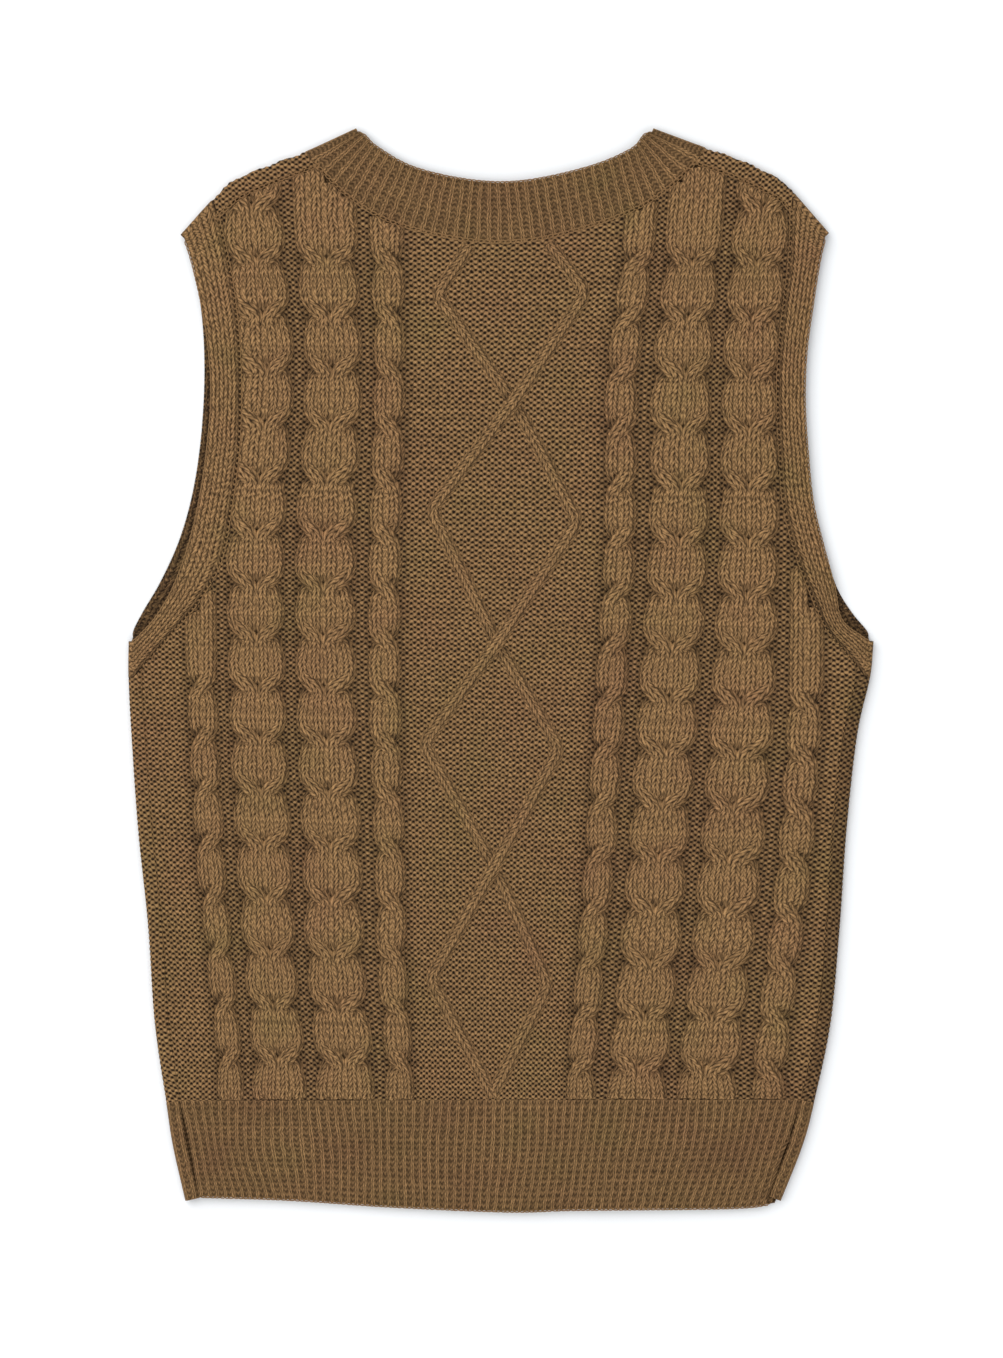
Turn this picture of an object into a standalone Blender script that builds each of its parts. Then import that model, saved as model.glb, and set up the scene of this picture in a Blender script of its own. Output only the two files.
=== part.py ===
"""A knitted V-neck sweater vest, lying flat on its front with its cabled back up.

Metres, +Z up, +Y from the hem to the neck, +X to the right of someone who looks down on it.
Each piece is a wall of knit: a middle surface of rows of points that a Solidify modifier thickens.
Neighbouring pieces are sampled at the same seam points, then each is eased back by half the seam gap.
The front reaches round both sides and both shoulders, so its seams lie on the back.
"""

from collections import namedtuple

import bmesh
import bpy
import numpy as np

MM = 0.001

# Knit
WALL = 3 * MM
LAYER_GAP = 0.4 * MM
SEAM_GAP = 0.3 * MM
ROLL_RADIUS = (WALL + LAYER_GAP) / 2
FRONT_LEVEL = WALL / 2
BACK_LEVEL = FRONT_LEVEL + 2 * ROLL_RADIUS

# How far the front reaches over onto the back, from the flat edge of the roll to the seam
SIDE_REACH = 5.2 * MM
CORNER_REACH = 8 * MM

# Centre line of the front, with the point of its V and the top of its hem
CENTRE_X = 3.6 * MM
V_EDGE_Y = 160 * MM
V_SEAM_Y = 88 * MM
HEM_SEAM_Y = -260 * MM

# Rows and columns of each surface
HEM_ROWS = 3
SIDE_ROWS = 10
ARM_ROWS = 16
SHOULDER_COLUMNS = 5
NECK_COLUMNS = 20
V_ROWS = 13
ROLL_STEPS = 5
ARMBAND_COLUMNS = 2
NECKBAND_COLUMNS = 3
CURVE_STEPS = 24

# Outer edge of the laid garment, in millimetres, from the hem to the underarm
SideRow = namedtuple("SideRow", "y left right")
HEM_SIDE = (
    SideRow(-319, -189.5, 168),
    SideRow(-286, -197, 181),
    SideRow(-260, -201, 188),
)
BODY_SIDE = (
    SideRow(-260, -201, 188),
    SideRow(-212, -208, 198),
    SideRow(-154, -212, 203.5),
    SideRow(-96, -218, 207.6),
    SideRow(-39, -222, 214),
    SideRow(-5, -223.7, 221.6),
)
UNDERARM = SideRow(17, -223.6, 223.7)

# Bottom edge of the hem, in millimetres
HEM_EDGE = ((-186, -316), (-127, -318), (-67, -322), (4, -325), (45, -324), (137, -323), (163, -320.5))

# Armhole, in millimetres, from the underarm up: the front's free edge, the seam that joins the band to
# the panels, and how far the back's free edge lies inside the front's
ArmRow = namedtuple("ArmRow", "edge_x edge_y seam_x seam_y back_inset")
LEFT_ARM = (
    ArmRow(-221, 23, -207, 11, 5),
    ArmRow(-215, 35, -194, 26, 9),
    ArmRow(-205, 52, -181, 42, 9),
    ArmRow(-194, 76, -168, 66, 7),
    ArmRow(-186, 103, -162, 98, 5.5),
    ArmRow(-181, 133, -157.5, 133, 5),
    ArmRow(-178.5, 165, -156.5, 168, 5),
    ArmRow(-178.5, 195, -157.5, 198, 3),
    ArmRow(-181, 222, -160.5, 226, 1),
    ArmRow(-186, 247, -165, 251, 0),
)
RIGHT_ARM = (
    ArmRow(220, 23, 207, 10, 5),
    ArmRow(211, 34, 196, 24, 8),
    ArmRow(202, 49, 186, 46, 2),
    ArmRow(193, 75, 177, 70, 0),
    ArmRow(187, 100, 170, 98, 0),
    ArmRow(184, 128, 167.5, 127, 0),
    ArmRow(182, 160, 166, 160, 0),
    ArmRow(183, 190, 167, 192, 0),
    ArmRow(187, 220, 170, 220, 0),
    ArmRow(191, 245, 173, 246, 0),
)

# Shoulder fold, in millimetres: the armband from its edge to its seam, the panel, then the neckband
LEFT_SHOULDER = ((-192.5, 261), (-174, 281.5), (-160, 294), (-135, 304.5), (-117.5, 311), (-87, 325))
RIGHT_SHOULDER = ((197, 262), (177, 285), (168, 294), (145, 305.5), (122.5, 313.5), (91.5, 325))

# Back neckband, in millimetres, from left to right: its free edge and its seam
NeckRow = namedtuple("NeckRow", "edge_x edge_y seam_x seam_y")
BACK_NECK = (
    NeckRow(-82, 320.5, -106, 298),
    NeckRow(-74, 313, -91.5, 284),
    NeckRow(-52, 301, -65, 268.5),
    NeckRow(-17.5, 293.3, -21, 258),
    NeckRow(14, 293, 19, 258),
    NeckRow(53, 301.5, 60, 268.5),
    NeckRow(78, 312, 89, 281),
    NeckRow(86, 320.5, 111, 298.5),
)

# Linear colour, roughness
CAMEL = (0.25, 0.155, 0.078)
KNIT_ROUGHNESS = 0.92
PANEL_SHADE = 1.0
BAND_SHADE = 0.92
HEM_SHADE = 0.86


def clear_scene():
    for obj in list(bpy.data.objects):
        bpy.data.objects.remove(obj, do_unlink=True)


def smooth_curve(knots):
    """A dense Catmull-Rom curve through the knots, CURVE_STEPS steps to a span."""
    knots = np.array(knots, float)
    before = 2 * knots[0] - knots[1]
    after = 2 * knots[-1] - knots[-2]
    padded = np.vstack([before, knots, after])
    t = np.arange(CURVE_STEPS)[:, None] / CURVE_STEPS
    spans = []
    for p0, p1, p2, p3 in zip(padded, padded[1:], padded[2:], padded[3:]):
        bend = 2 * p0 - 5 * p1 + 4 * p2 - p3
        lift = -p0 + 3 * p1 - 3 * p2 + p3
        spans.append(p1 + 0.5 * ((p2 - p0) * t + bend * t**2 + lift * t**3))
    return np.vstack(spans + [knots[-1:]])


def lengths_along(curve):
    steps = np.linalg.norm(np.diff(curve[:, :2], axis=0), axis=1)
    return np.concatenate([[0], np.cumsum(steps)])


def at_lengths(curve, lengths):
    along = lengths_along(curve)
    return np.column_stack([np.interp(lengths, along, column) for column in curve.T])


def evenly(curve, spans):
    return at_lengths(curve, np.linspace(0, lengths_along(curve)[-1], spans + 1))


def with_corners(curve, spans):
    """Even samples, but the first and last spans are CORNER_REACH long."""
    total = lengths_along(curve)[-1]
    inner = np.linspace(CORNER_REACH, total - CORNER_REACH, spans - 1)
    return at_lengths(curve, np.concatenate([[0], inner, [total]]))


def fold(outline, turn):
    """The line where the cloth starts to roll, as x, y and the outward direction.

    turn is 1 where outward is to the left of the line's direction, and -1 where it's to the right.
    """
    along = np.gradient(outline, axis=0)
    along /= np.linalg.norm(along, axis=1)[:, None]
    outward = turn * np.column_stack([-along[:, 1], along[:, 0]])
    return np.hstack([outline - (ROLL_RADIUS + WALL / 2) * outward, outward])


def at_height(points, level):
    return np.concatenate([points, np.full(points.shape[:-1] + (1,), level)], axis=-1)


def rolled(line):
    """Rows of points from the front's level round the roll to the back's, one row for each point."""
    angles = np.linspace(0, np.pi, ROLL_STEPS + 1)
    rows = []
    for x, y, out_x, out_y in line[:, :4]:
        reach = ROLL_RADIUS * np.sin(angles)
        height = FRONT_LEVEL + ROLL_RADIUS * (1 - np.cos(angles))
        rows.append(np.column_stack([x + reach * out_x, y + reach * out_y, height]))
    return np.array(rows)


def filled(bottom, top, left, right):
    """A Coons patch: rows of points between four boundaries that share their corners."""
    u = lengths_along(top) / lengths_along(top)[-1]
    v = (lengths_along(left) / lengths_along(left)[-1] + lengths_along(right) / lengths_along(right)[-1]) / 2
    u = u[None, :, None]
    v = v[:, None, None]
    between_ends = (1 - v) * bottom[None] + v * top[None]
    between_sides = (1 - u) * left[:, None] + u * right[:, None]
    low = (1 - u) * bottom[0] + u * bottom[-1]
    high = (1 - u) * top[0] + u * top[-1]
    return between_ends + between_sides - (1 - v) * low - v * high


def along_like(pattern, start, end):
    """Points on the line from start to end, spaced as the pattern's points are."""
    share = lengths_along(pattern) / lengths_along(pattern)[-1]
    return start + share[:, None] * (end - start)


def add_grid(bm, rows):
    verts = [[bm.verts.new(point) for point in row] for row in rows]
    for low, high in zip(verts, verts[1:]):
        for a, b, c, d in zip(low, low[1:], high[1:], high):
            bm.faces.new((a, b, c, d))


def ease_back(bm, distance):
    """Moves each open edge into its own cloth, so that pieces which share a seam lie clear of each other."""
    moves = {}
    for edge in bm.edges:
        if not edge.is_boundary:
            continue
        face = edge.link_faces[0]
        middle = (edge.verts[0].co + edge.verts[1].co) / 2
        inward = face.normal.cross(edge.verts[1].co - edge.verts[0].co).normalized()
        if inward.dot(face.calc_center_median() - middle) < 0:
            inward.negate()
        for vert in edge.verts:
            moves.setdefault(vert, []).append(inward)
    for vert, (first, second) in moves.items():
        shared = (first + second).normalized()
        vert.co += shared * distance / max(shared.dot(first), 0.5)


def knit_piece(name, grids, shade):
    """One closed wall of knit from grids that share their borders."""
    bm = bmesh.new()
    for rows in grids:
        add_grid(bm, rows)
    bmesh.ops.remove_doubles(bm, verts=bm.verts, dist=0.01 * MM)
    bmesh.ops.recalc_face_normals(bm, faces=bm.faces)
    bm.normal_update()
    ease_back(bm, SEAM_GAP / 2)
    mesh = bpy.data.meshes.new(name)
    bm.to_mesh(mesh)
    bm.free()
    mesh.shade_smooth()
    mesh.materials.append(knit_material(name, shade))
    obj = bpy.data.objects.new(name, mesh)
    bpy.context.scene.collection.objects.link(obj)
    wall = obj.modifiers.new("Wall", "SOLIDIFY")
    wall.thickness = WALL
    wall.offset = 0
    wall.use_even_offset = True
    wall.use_rim = True
    return obj


def knit_material(name, shade):
    material = bpy.data.materials.new(name)
    material.use_nodes = True
    shader = material.node_tree.nodes["Principled BSDF"]
    colour = [channel * shade for channel in CAMEL]
    shader.inputs["Base Color"].default_value = (*colour, 1)
    shader.inputs["Roughness"].default_value = KNIT_ROUGHNESS
    shader.inputs["Metallic"].default_value = 0
    return material


def side_lines(side):
    """The fold at one side of the hem, of the body and of the armband, from the bottom up."""
    sign = -1 if side == "left" else 1
    rows = HEM_SIDE + BODY_SIDE[1:] + (UNDERARM,)
    outline = smooth_curve([(getattr(row, side) * MM, row.y * MM) for row in rows])
    line = fold(outline, -sign)
    hem_end = (len(HEM_SIDE) - 1) * CURVE_STEPS
    body_end = hem_end + (len(BODY_SIDE) - 1) * CURVE_STEPS
    hem = evenly(line[: hem_end + 1], HEM_ROWS)
    body = evenly(line[hem_end : body_end + 1], SIDE_ROWS)
    armband = evenly(line[body_end:], ARMBAND_COLUMNS)
    return hem, body, armband


def shoulder_lines(knots, side):
    """The shoulder fold of the armband, of the panel and of the neckband, from the arm to the neck."""
    sign = -1 if side == "left" else 1
    line = fold(smooth_curve(np.array(knots) * MM), -sign)
    arm_end = CURVE_STEPS
    neck_start = 4 * CURVE_STEPS
    armband = evenly(line[: arm_end + 1], ARMBAND_COLUMNS)
    panel = evenly(line[arm_end : neck_start + 1], SHOULDER_COLUMNS)
    neckband = evenly(line[neck_start:], NECKBAND_COLUMNS)
    return armband, panel, neckband


def arm_stations(table, under, shoulder):
    """Edge and seam points of the armhole from the underarm fold to the shoulder fold."""
    rows = [(row.seam_x, row.seam_y, row.edge_x, row.edge_y, row.back_inset) for row in table]
    first = (*under[0, :2], *under[-1, :2], 0)
    last = (*shoulder[-1, :2], *shoulder[0, :2], 0)
    rows = [first] + [tuple(value * MM for value in row) for row in rows] + [last]
    stations = with_corners(smooth_curve(rows), ARM_ROWS)
    seam = stations[:, :2]
    front_edge = stations[:, 2:4]
    across = seam - front_edge
    across /= np.linalg.norm(across, axis=1)[:, None]
    back_edge = front_edge + across * stations[:, 4:5]
    return seam, front_edge, back_edge


def neck_stations(left, right):
    """Edge and seam points of the back neckband from the left shoulder fold to the right one."""
    rows = [(row.seam_x, row.seam_y, row.edge_x, row.edge_y) for row in BACK_NECK]
    first = (*left[0, :2], *left[-1, :2])
    last = (*right[0, :2], *right[-1, :2])
    rows = [first] + [tuple(value * MM for value in row) for row in rows] + [last]
    stations = with_corners(smooth_curve(rows), NECK_COLUMNS)
    return stations[:, :2], stations[:, 2:]


def v_stations(fold_line):
    """Edge and seam points of one side of the front V, from its point up to the shoulder fold."""
    t = np.linspace(0, 1, V_ROWS + 1)[:, None]
    seam = (1 - t) * np.array([CENTRE_X, V_SEAM_Y]) + t * fold_line[0, :2]
    edge = (1 - t) * np.array([CENTRE_X, V_EDGE_Y]) + t * fold_line[-1, :2]
    return seam, edge


def strip(seam, edge, level, columns):
    """Rows across a band, each from its seam to its free edge."""
    t = np.linspace(0, 1, columns + 1)[None, :, None]
    return at_height((1 - t) * seam[:, None] + t * edge[:, None], level)


def side_seam(line):
    """The side seam on the back, beside the fold."""
    return line[:, :2] - SIDE_REACH * line[:, 2:]


def shoulder_seam(line, arm_corner, neck_corner):
    """The shoulder seam on the back, from the armband to the neckband."""
    t = np.linspace(0, 1, len(line))[:, None]
    return line[:, :2] + (1 - t) * (arm_corner - line[0, :2]) + t * (neck_corner - line[-1, :2])


def lapped(line, seam):
    """The roll and the strip beyond it that reaches the seam on the back."""
    return np.concatenate([rolled(line), at_height(seam, BACK_LEVEL)[:, None]], axis=1)


def make_armband(side, seam, front_edge, back_edge, under, shoulder):
    back = strip(seam, back_edge, BACK_LEVEL, ARMBAND_COLUMNS)
    front = strip(seam, front_edge, FRONT_LEVEL, ARMBAND_COLUMNS)
    for layer in (back, front):
        layer[0, :, :2] = under[:, :2]
        layer[-1, :, :2] = shoulder[::-1, :2]
    knit_piece("armband_" + side, [back, front, rolled(under), rolled(shoulder)], BAND_SHADE)


def make_neckband(back_seam, back_edge, left_v, right_v, left_fold, right_fold):
    back = strip(back_seam, back_edge, BACK_LEVEL, NECKBAND_COLUMNS)
    front_left = strip(*left_v, FRONT_LEVEL, NECKBAND_COLUMNS)
    front_right = strip(*right_v, FRONT_LEVEL, NECKBAND_COLUMNS)
    back[0, :, :2] = front_left[-1, :, :2] = left_fold[:, :2]
    back[-1, :, :2] = front_right[-1, :, :2] = right_fold[:, :2]
    grids = [back, front_left, front_right, rolled(left_fold), rolled(right_fold)]
    knit_piece("neckband", grids, BAND_SHADE)


def half_front(side_line, arm_seam, shoulder_line, v_seam):
    """One half of the front's flat surface, from its side to the centre line and the V."""
    outer = np.vstack([side_line[:, :2], arm_seam[1:]])
    centre_rows = len(outer) - 1 - V_ROWS
    hem_centre = np.array([CENTRE_X, HEM_SEAM_Y])
    inner = np.vstack([np.linspace(hem_centre, v_seam[0], centre_rows + 1), v_seam[1:]])
    top = shoulder_line[:, :2]
    bottom = along_like(top, outer[0], inner[0])
    return at_height(filled(bottom, top, outer, inner), FRONT_LEVEL)


def hem_layer(top, left, right, level):
    """One layer of the hem, below the seam that top follows, between its two side edges."""
    edge = smooth_curve(np.array(HEM_EDGE) * MM)
    across = along_like(top, left[0], right[0])[:, 0]
    bottom = np.column_stack([across, np.interp(across, edge[:, 0], edge[:, 1])])
    bottom[0] = left[0]
    bottom[-1] = right[0]
    return at_height(filled(bottom, top, left, right), level)


def centre_on_origin():
    """Moves the vest so that its outline is centred on the origin."""
    bpy.context.view_layer.update()
    graph = bpy.context.evaluated_depsgraph_get()
    pieces = [obj for obj in bpy.data.objects if obj.type == "MESH"]
    points = [vert.co for obj in pieces for vert in obj.evaluated_get(graph).data.vertices]
    low = np.min(points, axis=0)
    high = np.max(points, axis=0)
    for obj in pieces:
        for vert in obj.data.vertices:
            vert.co.x -= (low[0] + high[0]) / 2
            vert.co.y -= (low[1] + high[1]) / 2


def main():
    clear_scene()
    left_hem, left_side, left_under = side_lines("left")
    right_hem, right_side, right_under = side_lines("right")
    left_arm_fold, left_shoulder, left_neck_fold = shoulder_lines(LEFT_SHOULDER, "left")
    right_arm_fold, right_shoulder, right_neck_fold = shoulder_lines(RIGHT_SHOULDER, "right")
    left_arm = arm_stations(LEFT_ARM, left_under, left_arm_fold)
    right_arm = arm_stations(RIGHT_ARM, right_under, right_arm_fold)
    left_arm_seam = left_arm[0]
    right_arm_seam = right_arm[0]
    neck_seam, neck_edge = neck_stations(left_neck_fold, right_neck_fold)
    left_v = v_stations(left_neck_fold)
    right_v = v_stations(right_neck_fold)

    make_armband("left", *left_arm, left_under, left_arm_fold)
    make_armband("right", *right_arm, right_under, right_arm_fold)
    make_neckband(neck_seam, neck_edge, left_v, right_v, left_neck_fold, right_neck_fold)

    left_side_seam = np.vstack([side_seam(left_side)[:-1], left_arm_seam[1]])
    right_side_seam = np.vstack([side_seam(right_side)[:-1], right_arm_seam[1]])
    left_shoulder_seam = shoulder_seam(left_shoulder, left_arm_seam[-2], neck_seam[1])
    right_shoulder_seam = shoulder_seam(right_shoulder, right_arm_seam[-2], neck_seam[-2])
    front_left = half_front(left_side, left_arm_seam, left_shoulder, left_v[0])
    front_right = half_front(right_side, right_arm_seam, right_shoulder, right_v[0])
    front = [
        front_left,
        front_right,
        lapped(left_side, left_side_seam),
        lapped(right_side, right_side_seam),
        lapped(left_shoulder, left_shoulder_seam),
        lapped(right_shoulder, right_shoulder_seam),
    ]
    knit_piece("front_panel", front, PANEL_SHADE)

    top = np.vstack([left_shoulder_seam, neck_seam[2:-2], right_shoulder_seam[::-1]])
    left_edge = np.vstack([left_side_seam, left_arm_seam[2:-1]])
    right_edge = np.vstack([right_side_seam, right_arm_seam[2:-1]])
    back_hem_line = along_like(top, left_edge[0], right_edge[0])
    back = at_height(filled(back_hem_line, top, left_edge, right_edge), BACK_LEVEL)
    knit_piece("back_panel", [back], PANEL_SHADE)

    left_hem_seam = side_seam(left_hem)
    right_hem_seam = side_seam(right_hem)
    back_hem = hem_layer(back_hem_line, left_hem_seam, right_hem_seam, BACK_LEVEL)
    knit_piece("back_hem", [back_hem], HEM_SHADE)
    front_hem_line = np.vstack([front_left[0, :-1, :2], front_right[0, ::-1, :2]])
    front_hem = [
        hem_layer(front_hem_line, left_hem[:, :2], right_hem[:, :2], FRONT_LEVEL),
        lapped(left_hem, left_hem_seam),
        lapped(right_hem, right_hem_seam),
    ]
    knit_piece("front_hem", front_hem, HEM_SHADE)
    centre_on_origin()


main()
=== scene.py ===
import math

import bmesh
import bpy
import numpy as np
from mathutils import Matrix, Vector


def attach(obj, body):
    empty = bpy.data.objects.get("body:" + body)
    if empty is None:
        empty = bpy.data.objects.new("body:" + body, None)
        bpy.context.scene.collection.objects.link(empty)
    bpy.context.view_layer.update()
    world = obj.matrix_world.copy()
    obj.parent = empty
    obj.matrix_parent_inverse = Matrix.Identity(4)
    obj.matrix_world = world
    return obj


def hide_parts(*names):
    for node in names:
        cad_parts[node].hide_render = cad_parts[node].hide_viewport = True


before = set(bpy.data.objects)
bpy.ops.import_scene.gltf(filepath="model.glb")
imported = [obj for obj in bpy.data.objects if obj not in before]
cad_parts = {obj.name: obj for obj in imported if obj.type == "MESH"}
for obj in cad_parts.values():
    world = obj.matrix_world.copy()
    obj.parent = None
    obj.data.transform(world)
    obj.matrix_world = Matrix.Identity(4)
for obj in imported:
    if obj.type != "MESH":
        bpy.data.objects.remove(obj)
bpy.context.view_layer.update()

# Cabled slipover, lying on its front with the back up. All sizes are in millimetres until a mesh is made.
mm = 0.001
cloth = {"thick": 6.4, "topZ": 6, "roll": 3.2, "wall": 2.0, "sideReach": 5.2, "cornerReach": 8.0}

# outline of the laid vest, the same points as the solids have
outline = {
    "hemSides": ((-319, -189.5, 168), (-286, -197, 181), (-260, -201, 188)),  # y, left x, right x
    "bodySides": ((-260, -201, 188), (-212, -208, 198), (-154, -212, 203.5), (-96, -218, 207.6),
                  (-39, -222, 214), (-5, -223.7, 221.6)),
    "underarm": (17, -223.6, 223.7),
    "hemEdge": ((-186, -316), (-127, -318), (-67, -322), (4, -325), (45, -324), (137, -323), (163, -320.5)),
    # free edge x, y, seam x, y, and how far the back's edge lies inside the front's
    "leftArm": ((-221, 23, -207, 11, 5), (-215, 35, -194, 26, 9), (-205, 52, -181, 42, 9),
                (-194, 76, -168, 66, 7), (-186, 103, -162, 98, 5.5), (-181, 133, -157.5, 133, 5),
                (-178.5, 165, -156.5, 168, 5), (-178.5, 195, -157.5, 198, 3), (-181, 222, -160.5, 226, 1),
                (-186, 247, -165, 251, 0)),
    "rightArm": ((220, 23, 207, 10, 5), (211, 34, 196, 24, 8), (202, 49, 186, 46, 2), (193, 75, 177, 70, 0),
                 (187, 100, 170, 98, 0), (184, 128, 167.5, 127, 0), (182, 160, 166, 160, 0),
                 (183, 190, 167, 192, 0), (187, 220, 170, 220, 0), (191, 245, 173, 246, 0)),
    "leftShoulder": ((-192.5, 261), (-174, 281.5), (-160, 294), (-135, 304.5), (-117.5, 311), (-87, 325)),
    "rightShoulder": ((197, 262), (177, 285), (168, 294), (145, 305.5), (122.5, 313.5), (91.5, 325)),
    # free edge x, y and seam x, y of the back neckband
    "backNeck": ((-82, 320.5, -106, 298), (-74, 313, -91.5, 284), (-52, 301, -65, 268.5),
                 (-17.5, 293.3, -21, 258), (14, 293, 19, 258), (53, 301.5, 60, 268.5), (78, 312, 89, 281),
                 (86, 320.5, 111, 298.5)),
    "centreX": 3.6, "vEdgeY": 160, "vSeamY": 88, "hemSeamY": -260,
}
density = {"side": 160, "arm": 164, "corner": 5, "shoulder": 30, "neck": 300, "neckCorner": 5, "v": 70,
           "hem": 38, "roll": 8, "across": 24, "armAcross": 42, "strip": 4}
curveSteps = 24


def smoothLine(knots):
    # Catmull-Rom through the knots
    knots = np.array(knots, float)
    padded = np.vstack([2 * knots[0] - knots[1], knots, 2 * knots[-1] - knots[-2]])
    t = np.arange(curveSteps)[:, None] / curveSteps
    spans = []
    for p0, p1, p2, p3 in zip(padded, padded[1:], padded[2:], padded[3:]):
        bend = 2 * p0 - 5 * p1 + 4 * p2 - p3
        lift = -p0 + 3 * p1 - 3 * p2 + p3
        spans.append(p1 + 0.5 * ((p2 - p0) * t + bend * t**2 + lift * t**3))
    return np.vstack(spans + [knots[-1:]])


def lengthsAlong(line):
    return np.concatenate([[0], np.cumsum(np.linalg.norm(np.diff(line[:, :2], axis=0), axis=1))])


def atLengths(line, lengths):
    along = lengthsAlong(line)
    return np.column_stack([np.interp(lengths, along, column) for column in line.T])


def evenly(line, spans):
    return atLengths(line, np.linspace(0, lengthsAlong(line)[-1], spans + 1))


def withCorners(line, spans, corner):
    total = lengthsAlong(line)[-1]
    reach = cloth["cornerReach"]
    first = np.linspace(0, reach, corner + 1)
    inner = np.linspace(reach, total - reach, spans + 1)
    return atLengths(line, np.concatenate([first, inner[1:-1], total - first[::-1]]))


def foldLine(line, turn):
    # where the cloth starts to roll: x, y and the outward direction
    along = np.gradient(line, axis=0)
    along /= np.linalg.norm(along, axis=1)[:, None]
    outward = turn * np.column_stack([-along[:, 1], along[:, 0]])
    return np.hstack([line - cloth["roll"] * outward, outward])


def atHeight(points, level):
    return np.concatenate([points, np.full(points.shape[:-1] + (1,), float(level))], axis=-1)


def rolled(line):
    # outer face from the floor round to the top
    angles = np.linspace(0, np.pi, density["roll"] + 1)[None, :, None]
    centre = atHeight(line[:, :2], cloth["roll"])[:, None]
    out = atHeight(line[:, 2:4], 0)[:, None]
    up = np.array([0, 0, 1.0])
    return centre + cloth["roll"] * (np.sin(angles) * out - np.cos(angles) * up)


def alongLike(pattern, start, end):
    share = lengthsAlong(pattern) / lengthsAlong(pattern)[-1]
    return start + share[:, None] * (end - start)


def filled(bottom, top, left, right):
    # Coons patch, rows from bottom to top
    u = (lengthsAlong(top) / lengthsAlong(top)[-1])[None, :, None]
    leftShare, rightShare = (lengthsAlong(line) / lengthsAlong(line)[-1] for line in (left, right))
    v = ((leftShare + rightShare) / 2)[:, None, None]
    ends = (1 - v) * bottom[None] + v * top[None]
    sides = (1 - u) * left[:, None] + u * right[:, None]
    corners = (1 - v) * ((1 - u) * bottom[0] + u * bottom[-1]) + v * ((1 - u) * top[0] + u * top[-1])
    return ends + sides - corners


def smooth(t):
    t = np.clip(t, 0, 1)
    return t * t * (3 - 2 * t)


def sideLines(side):
    column = 1 if side == "left" else 2
    rows = outline["hemSides"] + outline["bodySides"][1:] + (outline["underarm"],)
    line = foldLine(smoothLine([(row[column], row[0]) for row in rows]), 1 if side == "left" else -1)
    hemEnd = (len(outline["hemSides"]) - 1) * curveSteps
    bodyEnd = hemEnd + (len(outline["bodySides"]) - 1) * curveSteps
    return (evenly(line[: hemEnd + 1], density["hem"]), evenly(line[hemEnd : bodyEnd + 1], density["side"]),
            evenly(line[bodyEnd:], density["armAcross"]))


def shoulderLines(knots, side):
    line = foldLine(smoothLine(knots), 1 if side == "left" else -1)
    armEnd, neckStart = curveSteps, 4 * curveSteps
    return (evenly(line[: armEnd + 1], density["armAcross"]),
            evenly(line[armEnd : neckStart + 1], density["shoulder"]),
            evenly(line[neckStart:], density["across"]))


def armStations(table, under, shoulder):
    rows = [(row[2], row[3], row[0], row[1], row[4]) for row in table]
    rows = [(*under[0, :2], *under[-1, :2], 0)] + rows + [(*shoulder[-1, :2], *shoulder[0, :2], 0)]
    stations = withCorners(smoothLine(rows), density["arm"], density["corner"])
    seam, frontEdge = stations[:, :2], stations[:, 2:4]
    across = seam - frontEdge
    across /= np.linalg.norm(across, axis=1)[:, None]
    return seam, frontEdge, frontEdge + across * stations[:, 4:5]


def neckStations(left, right):
    rows = [(row[2], row[3], row[0], row[1]) for row in outline["backNeck"]]
    rows = [(*left[0, :2], *left[-1, :2])] + rows + [(*right[0, :2], *right[-1, :2])]
    stations = withCorners(smoothLine(rows), density["neck"], density["neckCorner"])
    return stations[:, :2], stations[:, 2:]


def vStations(fold):
    t = np.linspace(0, 1, density["v"] + 1)[:, None]
    seam = (1 - t) * np.array([outline["centreX"], outline["vSeamY"]]) + t * fold[0, :2]
    edge = (1 - t) * np.array([outline["centreX"], outline["vEdgeY"]]) + t * fold[-1, :2]
    return seam, edge


leftHem, leftSide, leftUnder = sideLines("left")
rightHem, rightSide, rightUnder = sideLines("right")
leftArmFold, leftShoulder, leftNeckFold = shoulderLines(outline["leftShoulder"], "left")
rightArmFold, rightShoulder, rightNeckFold = shoulderLines(outline["rightShoulder"], "right")
leftArm = armStations(outline["leftArm"], leftUnder, leftArmFold)
rightArm = armStations(outline["rightArm"], rightUnder, rightArmFold)
neckSeam, neckEdge = neckStations(leftNeckFold, rightNeckFold)
leftV, rightV = vStations(leftNeckFold), vStations(rightNeckFold)
corner, neckCorner = density["corner"], density["neckCorner"]


def sideSeam(line, end):
    # the seam on the back beside the fold, led into the armhole seam at its top
    seam = line[:, :2] - cloth["sideReach"] * line[:, 2:]
    lead = smooth((np.arange(len(seam)) - len(seam) + 7) / 6)[:, None]
    return seam + lead * (end - seam[-1])


def shoulderSeam(line, armEnd, neckEnd):
    t = np.linspace(0, 1, len(line))[:, None]
    return line[:, :2] + (1 - t) * (armEnd - line[0, :2]) + t * (neckEnd - line[-1, :2])


leftSideSeam = sideSeam(leftSide, leftArm[0][corner])
rightSideSeam = sideSeam(rightSide, rightArm[0][corner])
leftShoulderSeam = shoulderSeam(leftShoulder, leftArm[0][-1 - corner], neckSeam[neckCorner])
rightShoulderSeam = shoulderSeam(rightShoulder, rightArm[0][-1 - corner], neckSeam[-1 - neckCorner])
leftHemSeam = leftHem[:, :2] - cloth["sideReach"] * leftHem[:, 2:]
rightHemSeam = rightHem[:, :2] - cloth["sideReach"] * rightHem[:, 2:]

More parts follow.
